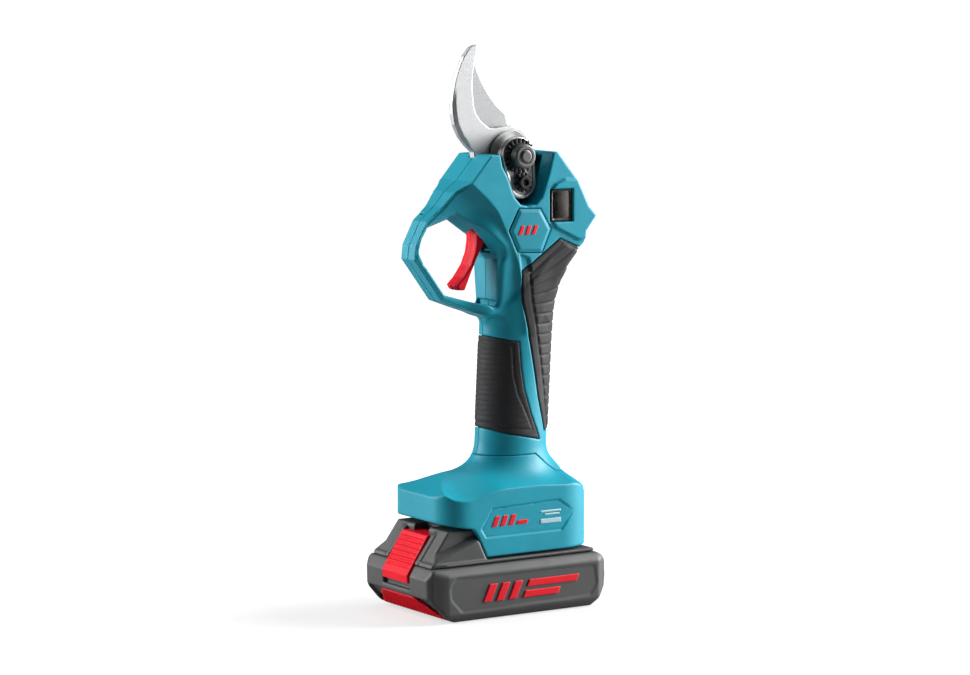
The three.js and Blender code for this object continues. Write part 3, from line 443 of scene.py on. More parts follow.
def body(x, y, z):
    """Outside of the head, guard and handle, both halves."""
    side = np.abs(y)
    outline = silhouette(x, z)
    in_front = np.maximum(broad_part(x, z), 0)
    scoop = HEAD_HALF - SCOOP_DEPTH * (1 - np.exp(-in_front / SCOOP_DEPTH))
    narrow = front_half_width(x, z)
    half = soft_max(scoop, narrow + 0.12 * np.maximum(-outline, 0), 1.8)
    half = half + PANEL_RISE * smooth_step(-rear_panel(x, z), -0.7, 0.7)
    half = half - 1.2 * smooth_step(-chevron(x, z), -0.9, 0.4)
    # A groove follows the edge between the guard's outer face and its sides.
    rim_line = 0.6 * np.exp(-((outline + 1.1) / 0.5) ** 2) * (in_front > 2)
    half = half - rim_line
    # The underside of the head is chamfered outward to both sides.
    chamfer = 0.45 * np.maximum(side - 1, 0) * smooth_step(z, PIVOT_Z - 61, PIVOT_Z - 49)
    hole = guard_hole(x, z) - chamfer
    ring = soft_max(outline, -hole, 1.0)
    rear_round = 1 - smooth_step(z, PIVOT_Z - 100, PIVOT_Z - 62)
    rear_round = rear_round * smooth_step(x, PIVOT_X + 5, PIVOT_X + 14)
    front_round = 1 - smooth_step(z, PIVOT_Z - 99, PIVOT_Z - 86)
    front_round = front_round * smooth_step(-x, -10, -2) * smooth_step(x, -7, 1)
    edge_round = 3 * smooth_step(x, PIVOT_X - 22, PIVOT_X - 16) * smooth_step(-z, -210, -200)
    slab = soft_max(ring, side - half, 0.9 + 19 * np.maximum(rear_round, front_round) + edge_round)
    column = soft_max(handle_column(x, y, z), z - PIVOT_Z + 90 - 0.9 * x, 3)
    ledge = block(x, y, z, (-0.8, -9.5, LEDGE_Z - 1.6), (2.8, 9.5, LEDGE_Z + 1.8), 0.5)
    return soft_max(soft_min(slab, column, 3), -ledge, 0.6)


def inner_room(x, y, z):
    """Space for the blades' sector, the drive and the trigger."""
    sector = soft_max(disc(x, z, 26.5, PIVOT_X, PIVOT_Z), np.abs(y - 3.4) - 9.6, 0.5)
    sector = soft_max(sector, -(z - PIVOT_Z + 32), 0.5)
    sector = soft_max(sector, silhouette(x, z) + 2.5, 0.5)
    drive = soft_max(np.sqrt((x - MOTOR_X) ** 2 + y ** 2) - 12.9, z - 198, 0.5)
    shaft = soft_max(np.sqrt((x - MOTOR_X) ** 2 + y ** 2) - 7.4, z - 243, 0.5)
    return np.minimum(np.minimum(sector, drive), shaft)


def blade_slot(x, y, z):
    """Room for the two blades, open to the top; the moving blade's part stops short of the front."""
    fixed = block(x, y, z, (PIVOT_X - 30, -1.3, PIVOT_Z - 14), (PIVOT_X + 16.8, 4.3, PIVOT_Z + 9), 0.3)
    fixed = soft_max(fixed, np.where(x < PIVOT_X - 12, hook(x, z) - 0.4, -9.0), 0.2)
    moving = block(x, y, z, (PIVOT_X - 12.5, 2, PIVOT_Z - 16), (PIVOT_X + 15.6, 11.8, PIVOT_Z + 9), 0.3)
    swept = soft_max(disc(x, z, 15.2, PIVOT_X, PIVOT_Z), np.abs(y - 6.9) - 4.9, 0.3)
    return np.minimum(np.minimum(fixed, moving), swept)


def trigger_slot(x, y, z):
    mouth = block(x, y, z, (-12.5, -6.5, 203.5), (3.5, 6.5, 222), 0.8)
    knuckle = soft_max(disc(x, z, 6.2, TRIGGER_X, TRIGGER_Z), np.abs(y) - 6.6, 0.5)
    switch_room = block(x, y, z, (0, -5.3, 204.6), (12.5, 5.3, 221), 0.5)
    return np.minimum(np.minimum(mouth, knuckle), switch_room)


def seat_notch(x, y, z):
    """The open U on the right side that shows the blade seat."""
    return soft_max(notch(x, z) - 0.08 * np.maximum(-y - 8, 0), y + 1.3, 0.8)


badge_shape = polygon(from_pivot([
    (-4, -29.4), (10.1, -29.9), (17.3, -41.6), (11.2, -54.6), (-4.6, -53.8), (-10.6, -41.6),
]))


def badge_gap(x, y, z):
    return soft_max(badge_shape(x, z) - 0.4, HEAD_HALF - 1.5 - np.abs(y), 0.4)


def slot_gap(x, y, z):
    return block(x, y, z, slot_low - [0.2, 20, 0.2], slot_high + [0.2, 20, 0.2], 0.8)


# Where each soft grip covers the handle, seen from the side.
front_grip_area = polygon([
    (-12, 158), (13.3, 152.6), (14.3, 138.1), (16.2, 125.1), (21, 110.3), (27.7, 96.1),
    (7, 100.5), (-12, 106),
])
front_panel_area = polygon([
    (-14, 155), (9.2, 149.9), (9.6, 134), (12, 122.5), (21.2, 102.4), (6, 104.6), (-14, 109.5),
])
rear_grip_area = polygon([
    (40.4, 210.2), (52.6, 204.9), (70, 198), (70, 100), (32.6, 100), (26.3, 119.8), (20, 152.4),
    (14.8, 176.6), (14.8, 192.3),
])
rear_panel_area = polygon([
    (43, 207.5), (54, 202), (72, 196), (72, 101), (36, 101), (31.6, 122), (26, 152.8),
    (21, 176.6), (20.2, 190.6),
])


def grip_pocket(x, y, z):
    """What the shells give up to the grips."""
    area = np.minimum(front_grip_area(x, z), rear_grip_area(x, z))
    return soft_max(area - 0.3, -(body(x, y, z) + 1.9), 0.4)


def screw_wells(x, y, z):
    wells = np.inf
    for number in range(1, 7):
        low, high = cad_box(f"shell_screw_{number}")
        centre = (low + high) / 2
        well = soft_max(disc(x, z, 2.9, centre[0], centre[2]), high[1] - 2.1 - y, 0.3)
        wells = np.minimum(wells, well)
    return wells


def joint_height(x):
    """Height of the joint between the shells and the foot: level, then falling toward the rear."""
    return HANDLE_FLOOR - 0.79 * np.clip(x - 23.9, 0, 13.6)


def lower_skin(x, y, z):
    """The handle and the foot as one smooth surface."""
    return soft_min(handle_column(x, y, z), foot_outside(x, y, z), 14)


def shell(side):
    """One half shell: side is -1 for the right and 1 for the left."""
    def field(x, y, z):
        solid = np.where(z < 112, np.minimum(body(x, y, z), lower_skin(x, y, z)), body(x, y, z))
        for gap in (inner_room(x, y, z), blade_slot(x, y, z), trigger_slot(x, y, z), badge_gap(x, y, z),
                    slot_gap(x, y, z), grip_pocket(x, y, z)):
            solid = soft_max(solid, -gap, 0.7)
        if side < 0:
            solid = soft_max(solid, -seat_notch(x, y, z), 1.2)
        else:
            bolt = soft_max(disc(x, z, 9.2, PIVOT_X, PIVOT_Z), 9 - y, 0.3)
            solid = soft_max(solid, -bolt, 0.8)
            solid = soft_max(solid, -screw_wells(x, y, z), 0.4)
        solid = soft_max(solid, joint_height(x) + 0.12 - z, 0.5)
        return soft_max(solid, 0.05 - side * y, 0.35)
    return field


def build_shells():
    top = shell_high[2] + 0.5
    add_field("shell_right", shell(-1), (-53, -HEAD_HALF - 2, 75), (shell_high[0] + 1, 0, top),
              0.62, TEAL, "tool", ["housing_right"])
    add_field("shell_left", shell(1), (-53, 0, 75), (shell_high[0] + 1, HEAD_HALF + 2, top),
              0.62, TEAL, "tool", ["housing_left"])


def groove_wave(along, pitch):
    """1 in a narrow groove, 0 on the land between grooves."""
    phase = np.abs((along / pitch) % 1 - 0.5) * 2
    return smooth_step(phase, 0.6, 0.95)


def front_grip(x, y, z):
    outer = body(x, y, z)
    panel = front_panel_area(x, z)
    inside_panel = smooth_step(-panel, -0.3, 0.7)
    lip = np.exp(-((panel - 0.5) / 0.5) ** 2)
    grooves = groove_wave(z - 0.1 * x, 2.9)
    skin = outer - 0.15 - 0.25 * inside_panel + 0.2 * grooves * inside_panel + 0.25 * lip
    grip = soft_max(skin, -(outer + 1.7), 0.4)
    return soft_max(grip, front_grip_area(x, z) + 0.05, 0.8)


def rear_grip(x, y, z):
    outer = body(x, y, z)
    panel = rear_panel_area(x, z)
    inside_panel = smooth_step(-panel, -0.2, 1.0)
    tilt = 0.6 * smooth_step(z, 165, 205)
    grooves = groove_wave(z - tilt * (x - 30), 6.0) ** 2
    lip = np.exp(-((panel - 0.6) / 0.5) ** 2)
    skin = outer - 0.1 - 0.45 * inside_panel + 0.5 * grooves * inside_panel + 0.3 * lip
    grip = soft_max(skin, -(outer + 1.7), 0.4)
    return soft_max(grip, rear_grip_area(x, z) + 0.05, 0.9)


def badge(side):
    def field(x, y, z):
        edge = badge_shape(x, z)
        face = HEAD_HALF + 0.9 - 0.55 * smooth_step(edge, -2.2, -0.4)
        plate = soft_max(edge, side * y - face, 0.5)
        return soft_max(plate, HEAD_HALF - 1.3 - side * y, 0.3)
    return field


def badge_mark(x, y, z):
    """Three small slanted bars, a generic mark on the right badge."""
    lean = x - PIVOT_X - 0.4 * (z - PIVOT_Z + 41.5)
    bars = np.inf
    for place in (-3, 1.5, 6):
        bar = np.maximum(np.abs(lean - place) - 1.3, np.abs(z - PIVOT_Z + 41.5) - 2.6)
        bars = np.minimum(bars, bar)
    return soft_max(bars, np.abs(-y - HEAD_HALF - 0.9) - 0.3, 0.2)


def strap_liner(x, y, z):
    outer = block(x, y, z, slot_low, slot_high, 1.0)
    hole = block(x, y, z, slot_low + [1.3, -9, 1.3], slot_high - [1.3, -9, 1.3], 1.4)
    return soft_max(outer, -hole, 0.5)


def build_trim():
    half = HEAD_HALF + 1.5
    add_field("grip_front", front_grip, (grip_low[0] - 1, -half, 95), (28.5, half, 158),
              0.62, RUBBER, "tool", ["front_grip"])
    add_field("grip_rear", rear_grip, (14, -half, 99.5), (57, half, 211),
              0.66, RUBBER, "tool", ["rear_grip"])
    for side, word in ((-1, "right"), (1, "left")):
        low, high = cad_box(f"badge_{word}")
        add_field(f"hex_badge_{word}", badge(side), low - 0.5, high + 0.5,
                  0.5, BADGE, "tool", [f"badge_{word}"])
    add_field("badge_bars", badge_mark, (PIVOT_X - 8, -half, PIVOT_Z - 45),
              (PIVOT_X + 11, -HEAD_HALF, PIVOT_Z - 38), 0.3, GRAPHIC, "tool")
    add_field("slot_liner", strap_liner, slot_low - 0.5, slot_high + 0.5,
              0.5, LINING, "tool", ["strap_slot_liner"])


# ------------------------------------------------------------------ blades
hook = polygon(from_pivot([
    (-24.2, 2.6), (-22.6, -7.5), (-19, -13.5), (-8, -13.5), (12.5, -13.5), (15.2, -8),
    (16.4, 0), (14.4, 8), (9, 13.7), (2, 16.3), (-5, 16.1), (-9.5, 15.4), (-13.5, 15.6),
    (-19.2, 19.6), (-22.3, 23.6), (-23.7, 27.5), (-24.7, 34.5), (-24.9, 41), (-24.4, 48),
    (-22.9, 55), (-21.5, 62.5), (-23.6, 62.3), (-26.5, 61), (-30.6, 55.9), (-33.6, 49.8),
    (-36, 43.1), (-37.3, 37), (-37.7, 30.3), (-37.2, 24), (-36, 18), (-32.6, 11.2),
    (-28.5, 6.2),
]))
cutter = polygon(from_pivot([
    (-22.9, 58), (-25.8, 48.5), (-26.8, 40.5), (-26.5, 30.5), (-23.7, 21.5), (-17, 14.5), (-12, 7.5),
    (-11.5, -8), (-6, -13.2), (3, -14), (10, -10.4), (14.1, -2.5), (12.5, 6), (9.5, 10.5), (2.6, 15.8),
    (0.6, 22.9), (-6.4, 29), (-11.1, 35), (-15, 40.9), (-18.1, 47.2), (-20.5, 53),
]))


def fixed_blade(x, y, z):
    """Hook blade: a flat near face, ground away along its outer edge, thinner toward the tip."""
    edge = hook(x, z)
    near = fixed_low[1] + 0.05
    far = fixed_high[1] - 1.6 * smooth_step(z, PIVOT_Z + 20, PIVOT_Z + 60)
    convex = smooth_step(PIVOT_X - x, 26, 30) * (1 - smooth_step(z, PIVOT_Z + 24, PIVOT_Z + 40))
    ground = 1.3 * convex * (1 - smooth_step(-edge, 0.2, 2.1))
    solid = soft_max(edge, np.maximum(near + ground - y, y - far), 0.3)
    return soft_max(solid, -disc(x, z, BOLT_BORE, PIVOT_X, PIVOT_Z), 0.3)


def moving_blade(x, y, z):
    edge = cutter(x, z)
    front = moving_low[1] + 0.05
    back = moving_high[1]
    ground = smooth_step(z, PIVOT_Z + 12, PIVOT_Z + 22) * 2.0 * (1 - smooth_step(-edge, 0.2, 6.5))
    solid = soft_max(edge, np.maximum(front - y, y - back + ground), 0.4)
    return soft_max(solid, -disc(x, z, BOLT_BORE, PIVOT_X, PIVOT_Z), 0.3)


def seat_outline(x, z, upper, lower):
    """Two rounds joined by straight sides."""
    along = np.clip(((x - PIVOT_X) * (LOCK_X - PIVOT_X) + (z - PIVOT_Z) * (LOCK_Z - PIVOT_Z))
                    / ((LOCK_X - PIVOT_X) ** 2 + (LOCK_Z - PIVOT_Z) ** 2), 0, 1)
    near_x = PIVOT_X + along * (LOCK_X - PIVOT_X)
    near_z = PIVOT_Z + along * (LOCK_Z - PIVOT_Z)
    return np.sqrt((x - near_x) ** 2 + (z - near_z) ** 2) - (upper + along * (lower - upper))


def blade_seat(x, y, z):
    low, high = cad_box("blade_seat")
    flare = 3.2 * smooth_step(y, -8, high[1])
    solid = soft_max(seat_outline(x, z, 10.8, 9.5) - flare, np.maximum(low[1] - y, y - high[1]), 1.0)
    recess = soft_max(seat_outline(x, z, 9.7, 7.2), y - low[1] - 0.9, 0.3)
    solid = soft_max(solid, -recess, 0.4)
    solid = soft_max(solid, -soft_max(np.sqrt((x - MOTOR_X) ** 2 + y ** 2) - 7.6, z - 242, 0.5), 0.4)
    return soft_max(solid, -disc(x, z, BOLT_BORE + 0.05, PIVOT_X, PIVOT_Z), 0.3)


def toothed_plate(node, centre_x, centre_z, root, tip, teeth, bore):
    low, high = cad_box(node)

    def field(x, y, z):
        radius = np.sqrt((x - centre_x) ** 2 + (z - centre_z) ** 2)
        angle = np.arctan2(z - centre_z, x - centre_x)
        wave = np.abs((angle * teeth / (2 * math.pi)) % 1 - 0.5) * 2
        rim = root + (tip - root) * smooth_step(wave, 0.35, 0.62)
        plate = soft_max(radius - rim, np.maximum(low[1] - y, y - high[1]), 0.35)
        return soft_max(plate, bore - radius, 0.2)
    return field, low, high


def round_cap(centre_x, centre_z, steps, bore=0.0, socket=0.0, socket_floor=0.0):
    """A turned part on an axis along Y; steps are (radius, front, back) from the front."""
    def field(x, y, z):
        dx = x - centre_x
        dz = z - centre_z
        radius = np.sqrt(dx ** 2 + dz ** 2)
        solid = np.inf
        for size, front, back in steps:
            solid = np.minimum(solid, soft_max(radius - size, np.maximum(front - y, y - back), 0.5))
        if bore:
            solid = soft_max(solid, bore - radius, 0.2)
        if socket:
            flats = -np.inf
            for turn in range(3):
                angle = turn * math.pi / 3
                flats = np.maximum(flats, np.abs(dx * math.cos(angle) + dz * math.sin(angle)) - socket)
            side = 1 if socket_floor > 0 else -1
            depth = (socket_floor - y) if side > 0 else (y - socket_floor)
            solid = soft_max(solid, -np.maximum(flats, depth), 0.25)
        return solid
    return field


def build_blades():
    add_field("hook_blade", fixed_blade, fixed_low - 0.5, fixed_high + 0.5,
              0.42, BLADE, "tool", ["fixed_blade"])
    add_field("cutter_blade", moving_blade, moving_low - 0.5, moving_high + 0.5,
              0.42, CUTTER_SHADED, "moving_blade", ["moving_blade"])
    low, high = cad_box("blade_seat")
    add_field("seat_casting", blade_seat, low - 0.5, high + 0.5,
              0.4, CAST, "tool", ["blade_seat"])


def build_pivot_hardware():
    field, low, high = toothed_plate("nut_washer", PIVOT_X, PIVOT_Z, 7.7, 10.1, 20, 4.1)
    add_field("toothed_washer", field, low - 0.4, high + 0.4,
              0.22, DARK, "tool", ["nut_washer"])
    field, low, high = toothed_plate("lock_gear", LOCK_X, LOCK_Z, 4.2, 5.6, 11, 2.1)
    add_field("lock_plate", field, low - 0.8, high + 0.8,
              0.2, DARK, "tool", ["lock_gear"])
    low, high = cad_box("pivot_nut")
    nut_steps = [
        (6.9, low[1] + 0.6, high[1]),
        (6.2, low[1], low[1] + 1.2),
    ]
    nut = round_cap(PIVOT_X, PIVOT_Z, nut_steps, bore=4.15)
    add_field("nut_ring", nut, low - 1, high + 1, 0.25, BRIGHT, "tool", ["pivot_nut"])
    low, high = cad_box("pivot_bolt")
    bolt_steps = [
        (3.95, low[1] + 0.9, high[1] - 2),
        (3.2, low[1], low[1] + 1.5),
        (8.4, high[1] - 3.9, high[1]),
    ]
    bolt = round_cap(PIVOT_X, PIVOT_Z, bolt_steps, socket=2.9, socket_floor=high[1] - 2.4)
    add_field("bolt_through", bolt, low - 0.5, high + 0.5,
              0.3, BRIGHT, "tool", ["pivot_bolt"])
    low, high = cad_box("lock_screw")
    screw_steps = [
        (3.8, low[1], low[1] + 1.8),
        (1.95, low[1] + 1, high[1]),
    ]
    screw = round_cap(LOCK_X, LOCK_Z, screw_steps, socket=1.75, socket_floor=low[1] + 1.2)
    add_field("lock_bolt", screw, low - 0.4, high + 0.4,
              0.2, DARK, "tool", ["lock_screw"])


# ------------------------------------------------------------------ trigger
trigger_outline = polygon([
    (-9.3, 222), (-9.2, 209.6), (-10.2, 203.5), (-13.1, 196.6), (-18, 190), (-22.6, 185.6),
    (-20.6, 182.6), (-16.2, 182.2), (-11.2, 193.5), (-8.4, 199.2), (-5.4, 205), (-2.6, 210),
    (-1, 214), (0, 219), (-1, 224), (-7, 225),
])


def trigger(x, y, z):
    """A curved finger lever with a raised line down its face, and a knuckle around the pin."""
    side = np.abs(y)
    edge = trigger_outline(x, z)
    crease = 0.5 * np.exp(-(y / 0.9) ** 2)
    lever = soft_max(edge + 0.02 * side ** 2 + crease * (x < TRIGGER_X - 2), side - 6, 0.9)
    pin_bore = disc(x, z, 1.6, TRIGGER_X, TRIGGER_Z)
    return soft_max(lever, -pin_bore, 0.2)


def build_trigger():
    low, high = cad_box("trigger")
    add_field("trigger_lever", trigger, low - 0.6, high + 0.6, 0.42, RED, "trigger", ["trigger"])


# ------------------------------------------------------------------ foot
foot_side = polygon([
    (-46, 55), (-46, 69), (-43.5, 70.6), (-28, 80), (-20, 95), (40, 95), (41, 82), (44, 76),
    (49.8, 70.5), (55.6, 61.9), (57.6, 56), (57.6, 41.3), (55.4, 36.6), (54.8, 34.4),
    (-18, 34.4), (-23.7, 46.3), (-26.6, 50.8), (-44.5, 54.2),
])


def foot_plan(x, side):
    """The foot seen from above, its corners rounded by wide blends."""
    return soft_max(soft_max(side - FOOT_HALF, x - 57.7, 24), -46.2 - x, 19)


arrow_panel = polygon([
    (-21.7, 50.6), (-14.2, 61.5), (30.5, 63), (41.1, 55.6), (32.5, 45.5), (-18.4, 45.6),
])


def ridge_height(x):
    """Height of the crease between the foot's side and its top."""
    rise = 5.1 * smooth_step(x, -34, -4) + 1.7 * smooth_step(-x, 36, 46)
    return 67.2 + rise - 1.2 * smooth_step(x, 17, 38) - 8 * smooth_step(x, 40, 62)


def foot_outside(x, y, z):
    side = np.abs(y)
    walls = soft_max(foot_side(x, z), foot_plan(x, side), 1.0)
    inward = np.clip(1 - side / FOOT_HALF, 0, 1)
    top = (z - ridge_height(x) - 11.5 * inward - 2.0 * inward ** 2) * 0.86
    top = soft_max(top, z - FOOT_TOP, 7)
    return soft_max(walls, top, 0.7)


def battery_foot(x, y, z):
    side = np.abs(y)
    solid = lower_skin(x, y, z)
    bottom_room = block(x, y, z, (-90, -27.6, 20), (51, 27.6, lid_high[2] + 0.6), 0.8)
    bottom_room = soft_max(bottom_room, np.where(x > 0, foot_plan(x, side) + 2.6, -9.0), 0.3)
    solid = soft_max(solid, -bottom_room, 0.8)
    # The arrow panel is sunk, and a groove follows its outline.
    panel = arrow_panel(x, z)
    sunk = 0.45 * smooth_step(-panel, -0.2, 0.2) + 0.4 * np.exp(-(panel / 0.4) ** 2)
    solid = np.maximum(solid, np.where(panel < 1.5, side - FOOT_HALF + sunk, -9.0))
    solid = soft_max(solid, z - joint_height(x) + 0.12, 0.5)
    spigot = soft_max(handle_column(x, y, z, -5.3), np.abs(z - HANDLE_FLOOR) - 6, 0.5)
    solid = np.minimum(solid, soft_max(spigot, z - joint_height(x) - 4, 0.3))
    rail = block(x, side, z, (-15, 24.4, 34.6), (45, 28.5, 37.4), 0.5)
    rail = soft_max(rail, foot_plan(x, side) + 1.2, 0.3)
    solid = np.minimum(solid, rail)
    hollow = soft_max(handle_column(x, y, z, -7), 60 - z, 0.5)
    chamber = block(x, y, z, (-40, -26, 54), (51, 26, 64), 4)
    return soft_max(solid, -np.minimum(hollow, chamber), 0.5)


def foot_mark(side):
    """Generic raised bars in the arrow panel, in place of lettering."""
    def field(x, y, z):
        lean = x - 0.4 * (z - 54)
        bars = np.inf
        for place in (-12, -6.5, -1):
            bars = np.minimum(bars, np.maximum(np.abs(lean - place) - 1.7, np.abs(z - 54.2) - 3))
        bars = np.minimum(bars, np.maximum(np.abs(lean - 6.5) - 3.5, np.abs(z - 52.4) - 1.2))
        return soft_max(bars, np.abs(side * y - FOOT_HALF + 0.5) - 0.35, 0.2)
    return field


def foot_note(side):
    """Three pale bars behind the red ones."""
    def field(x, y, z):
        bars = np.maximum(np.abs(x - 25) - 7, np.abs(z - 57) - 0.55)
        bars = np.minimum(bars, np.maximum(np.abs(x - 26) - 5, np.abs(z - 55.2) - 0.5))
        bars = np.minimum(bars, np.maximum(np.abs(x - 25) - 7, np.abs(z - 51.4) - 1.3))
        return soft_max(bars, np.abs(side * y - FOOT_HALF + 0.5) - 0.35, 0.2)
    return field


def build_foot():
    add_field("foot_shell", battery_foot, foot_low - 1, foot_high + 1,
              0.7, TEAL, "tool", ["battery_foot"])
    for side, word in ((-1, "right"), (1, "left")):
        near, far = sorted((side * (FOOT_HALF - 0.45), side * (FOOT_HALF + 0.55)))
        add_field(f"foot_mark_{word}", foot_mark(side), (-17, near, 49), (34, far, 60),
                  0.35, GRAPHIC, "tool")
        add_field(f"foot_note_{word}", foot_note(side), (14, near, 49), (34, far, 60),
                  0.35, PALE_INK, "tool")


# ------------------------------------------------------------------ battery
case_side = polygon([
    (-48, 3), (-42, 0), (50.7, 0), (60.2, 10.7), (61.2, 16.7), (60.6, 25.7), (58.8, 28.4), (54.7, 31.4),
    (-55.3, 31.4), (-59.5, 25), (-59, 14.2),
])
case_plan = polygon([
    (-60, -31.5), (-56.5, -34.6), (-47, -37.5), (54, -37.5), (61.4, -33), (61.4, 33),
    (54, 37.5), (-47, 37.5), (-56.5, 34.6), (-60, 31.5),
])
case_end = polygon([
    (-34, 0), (34, 0), (37.5, 5), (37.5, 26.5), (33.2, 31.4), (-33.2, 31.4), (-37.5, 26.5), (-37.5, 5),
])
inset_panel = polygon([
    (-38.4, 5.5), (-46, 14), (-46.4, 20.5), (-42.6, 25.7), (51.3, 24.6), (53.3, 13.3),
    (48.6, 7),
])
button_pocket = polygon([
    (-80, 17.4), (-56.6, 17.4), (-56.6, 21), (-42.2, 39.4), (-42.2, 47.2), (-43.4, 60),
    (-80, 60),
])
trim_pocket = polygon([(-80, 14.1), (-56.7, 14.1), (-45.6, 2.9), (-46.5, -6), (-80, -6)])


def button_recess(x, y, z):
    return soft_max(button_pocket(x, z), np.abs(y) - 14.1, 0.5)


def battery_case(x, y, z):
    side = np.abs(y)
    solid = soft_max(case_side(x, z), case_plan(x, y), 1.4)
    solid = soft_max(solid, case_end(y, z), 1.6)
    panel = inset_panel(x, z)
    inset = 0.75 * smooth_step(-panel, -0.3, 0.3)
    corner_groove = 0.7 * np.exp(-((x + 49.5 + 0.15 * (z - 15)) / 0.7) ** 2)
    solid = soft_max(solid, side - CASE_HALF + inset + corner_groove, 0.3)
    solid = soft_max(solid, -button_recess(x, y, z), 0.8)
    solid = soft_max(solid, -soft_max(trim_pocket(x, z), side - 33, 0.5), 0.5)
    cells = soft_max(block(x, y, z, (-49, -34.6, 4.6), (49, 34.6, 40), 2), case_end(y, z) + 2.4, 1)
    opening = block(x, y, z, (-45, -29, 20), (46, 29, 40), 2)
    return soft_max(solid, -np.minimum(cells, opening), 0.5)


lid_side = polygon([(-55.2, 31.5), (-41.3, 50.4), (50, 50.4), (50, 31.5)])
# In front of the foot's skirt the lid is as wide as the foot.
lid_nose = polygon([
    (-55.2, 31.5), (-41.3, 50.4), (-27.3, 50.4), (-24.5, 46.3), (-18.6, 34), (-18.6, 31.5),
])


def battery_lid(x, y, z):
    side = np.abs(y)
    low = lid_low[2]
    # The front carries a raised plate round the button.
    plate = 0.9 * smooth_step(-side, -18.6, -17.4) * (1 - smooth_step(z, 47, 49.5)) * (x < -30)
    tower = soft_max(lid_side(x, z) - plate, side - 27, 1.2)
    tower = soft_max(tower, np.where(x > 0, foot_plan(x, side) + 3.2, -9.0), 0.3)
    shoulder = -0.263 * (x + 41) + 0.597 * (side - 16) + 0.758 * (z - 50.4)
    nose = soft_max(lid_nose(x, z), side - 31.5, 1.0)
    nose = soft_max(nose, shoulder, 1.2)
    nose = np.minimum(nose, soft_max(soft_max(lid_side(x, z) - plate, side - 18.2, 0.5), x + 36, 0.5))
    flange = soft_max(case_plan(x, y) + 4.4, np.abs(z - low - 0.9) - 0.85, 0.6)
    flange = soft_max(flange, np.maximum(x - 53.5, -54.6 - x), 0.6)
    solid = soft_min(soft_max(np.minimum(tower, nose), low + 0.05 - z, 0.4), flange, 1.2)
    groove = block(x, side, z, (-16, 23.5, 34.1), (90, 40, 37.9), 0.5)
    solid = soft_max(solid, -groove, 0.5)
    solid = soft_max(solid, -button_recess(x, y, z), 0.8)
    latch_well = block(x, y, z, (-45, -7.6, 36), (-33.5, 7.6, 70), 0.6)
    terminal_slot = block(x, y, z, (11, -14.6, 42.3), (90, 14.6, 70), 0.6)
    room = block(x, y, z, (-31, -21, 20), (10, 21, 47.6), 1)
    return soft_max(solid, -np.minimum(np.minimum(latch_well, terminal_slot), room), 0.5)


button_side = polygon([
    (-59.9, 21), (-60.4, 25.6), (-46.6, 46.8), (-42.6, 46.8), (-42.6, 43), (-57, 24.6),
    (-57, 21),
])


def release_button(x, y, z):
    side = np.abs(y)
    face = soft_max(button_side(x, z), side - 13.5, 0.9)
    along = (x + 60.4) * 0.545 + (z - 25.6) * 0.838
    ribbed = smooth_step(along, 3, 4.5) * smooth_step(-along, -23.5, -22)
    ribs = 0.5 * np.cos(2 * math.pi * along / 3.1) * ribbed
    ribs = ribs * smooth_step(-side, -12.2, -11.4)
    face = face - ribs * (x < -46)
    latch = block(x, y, z, (-46, -7, 42.6), (-34, 7, 46.8), 0.8)
    return np.minimum(face, latch)


def lower_trim(x, y, z):
    side = np.abs(y)
    low, high = cad_box("battery_trim")
    outline = polygon([(-59, 13.9), (-56.95, 13.9), (-45.9, 2.75), (-46.4, 2.2), (-48, 3)])
    half = 16.8 + (13.9 - z) * 1.35
    along = (x + 59) * 0.7 - (z - 13.9) * 0.7
    ribs = 0.35 * np.cos(2 * math.pi * (y + 0.4 * along) / 3.6) * smooth_step(along, 1.5, 3)
    return soft_max(outline(x, z) - ribs, side - half, 0.8)


def side_mark(side):
    """A generic raised graphic in place of lettering: three slanted bars and two long ones."""
    def field(x, y, z):
        lean = x - 0.45 * (z - 15)
        bars = np.inf
        for start in (-20, -11.5, -3):
            bars = np.minimum(bars, np.maximum(np.abs(lean - start) - 2.6, np.abs(z - 15.4) - 5))
        bars = np.minimum(bars, np.maximum(np.abs(lean - 21) - 17, np.abs(z - 18.4) - 2))
        bars = np.minimum(bars, np.maximum(np.abs(lean - 16) - 12, np.abs(z - 12.4) - 2))
        face = CASE_HALF - 0.75
        return soft_max(bars, np.abs(side * y - face - 0.2) - 0.45, 0.4)
    return field


def build_battery():
    add_field("case_shell", battery_case, case_low - 1, case_high + 1,
              0.8, CHARCOAL, "battery", ["battery_case"])
    add_field("lid_shell", battery_lid, lid_low - 1, lid_high + 1,
              0.7, CHARCOAL, "battery", ["battery_lid"])
    low, high = cad_box("release_button")
    add_field("button_cap", release_button, low - 1, high + 1,
              0.45, RED, "button", ["release_button"])
    low, high = cad_box("battery_trim")
    add_field("trim_strip", lower_trim, low - 1.5, high + 1.5,
              0.45, RED, "battery", ["battery_trim"])
    for side, word in ((-1, "right"), (1, "left")):
        near, far = sorted((side * (CASE_HALF - 0.75), side * (CASE_HALF + 0.25)))
        add_field(f"side_mark_{word}", side_mark(side), (-32, near, 8), (46, far, 23),
                  0.4, GRAPHIC, "battery")


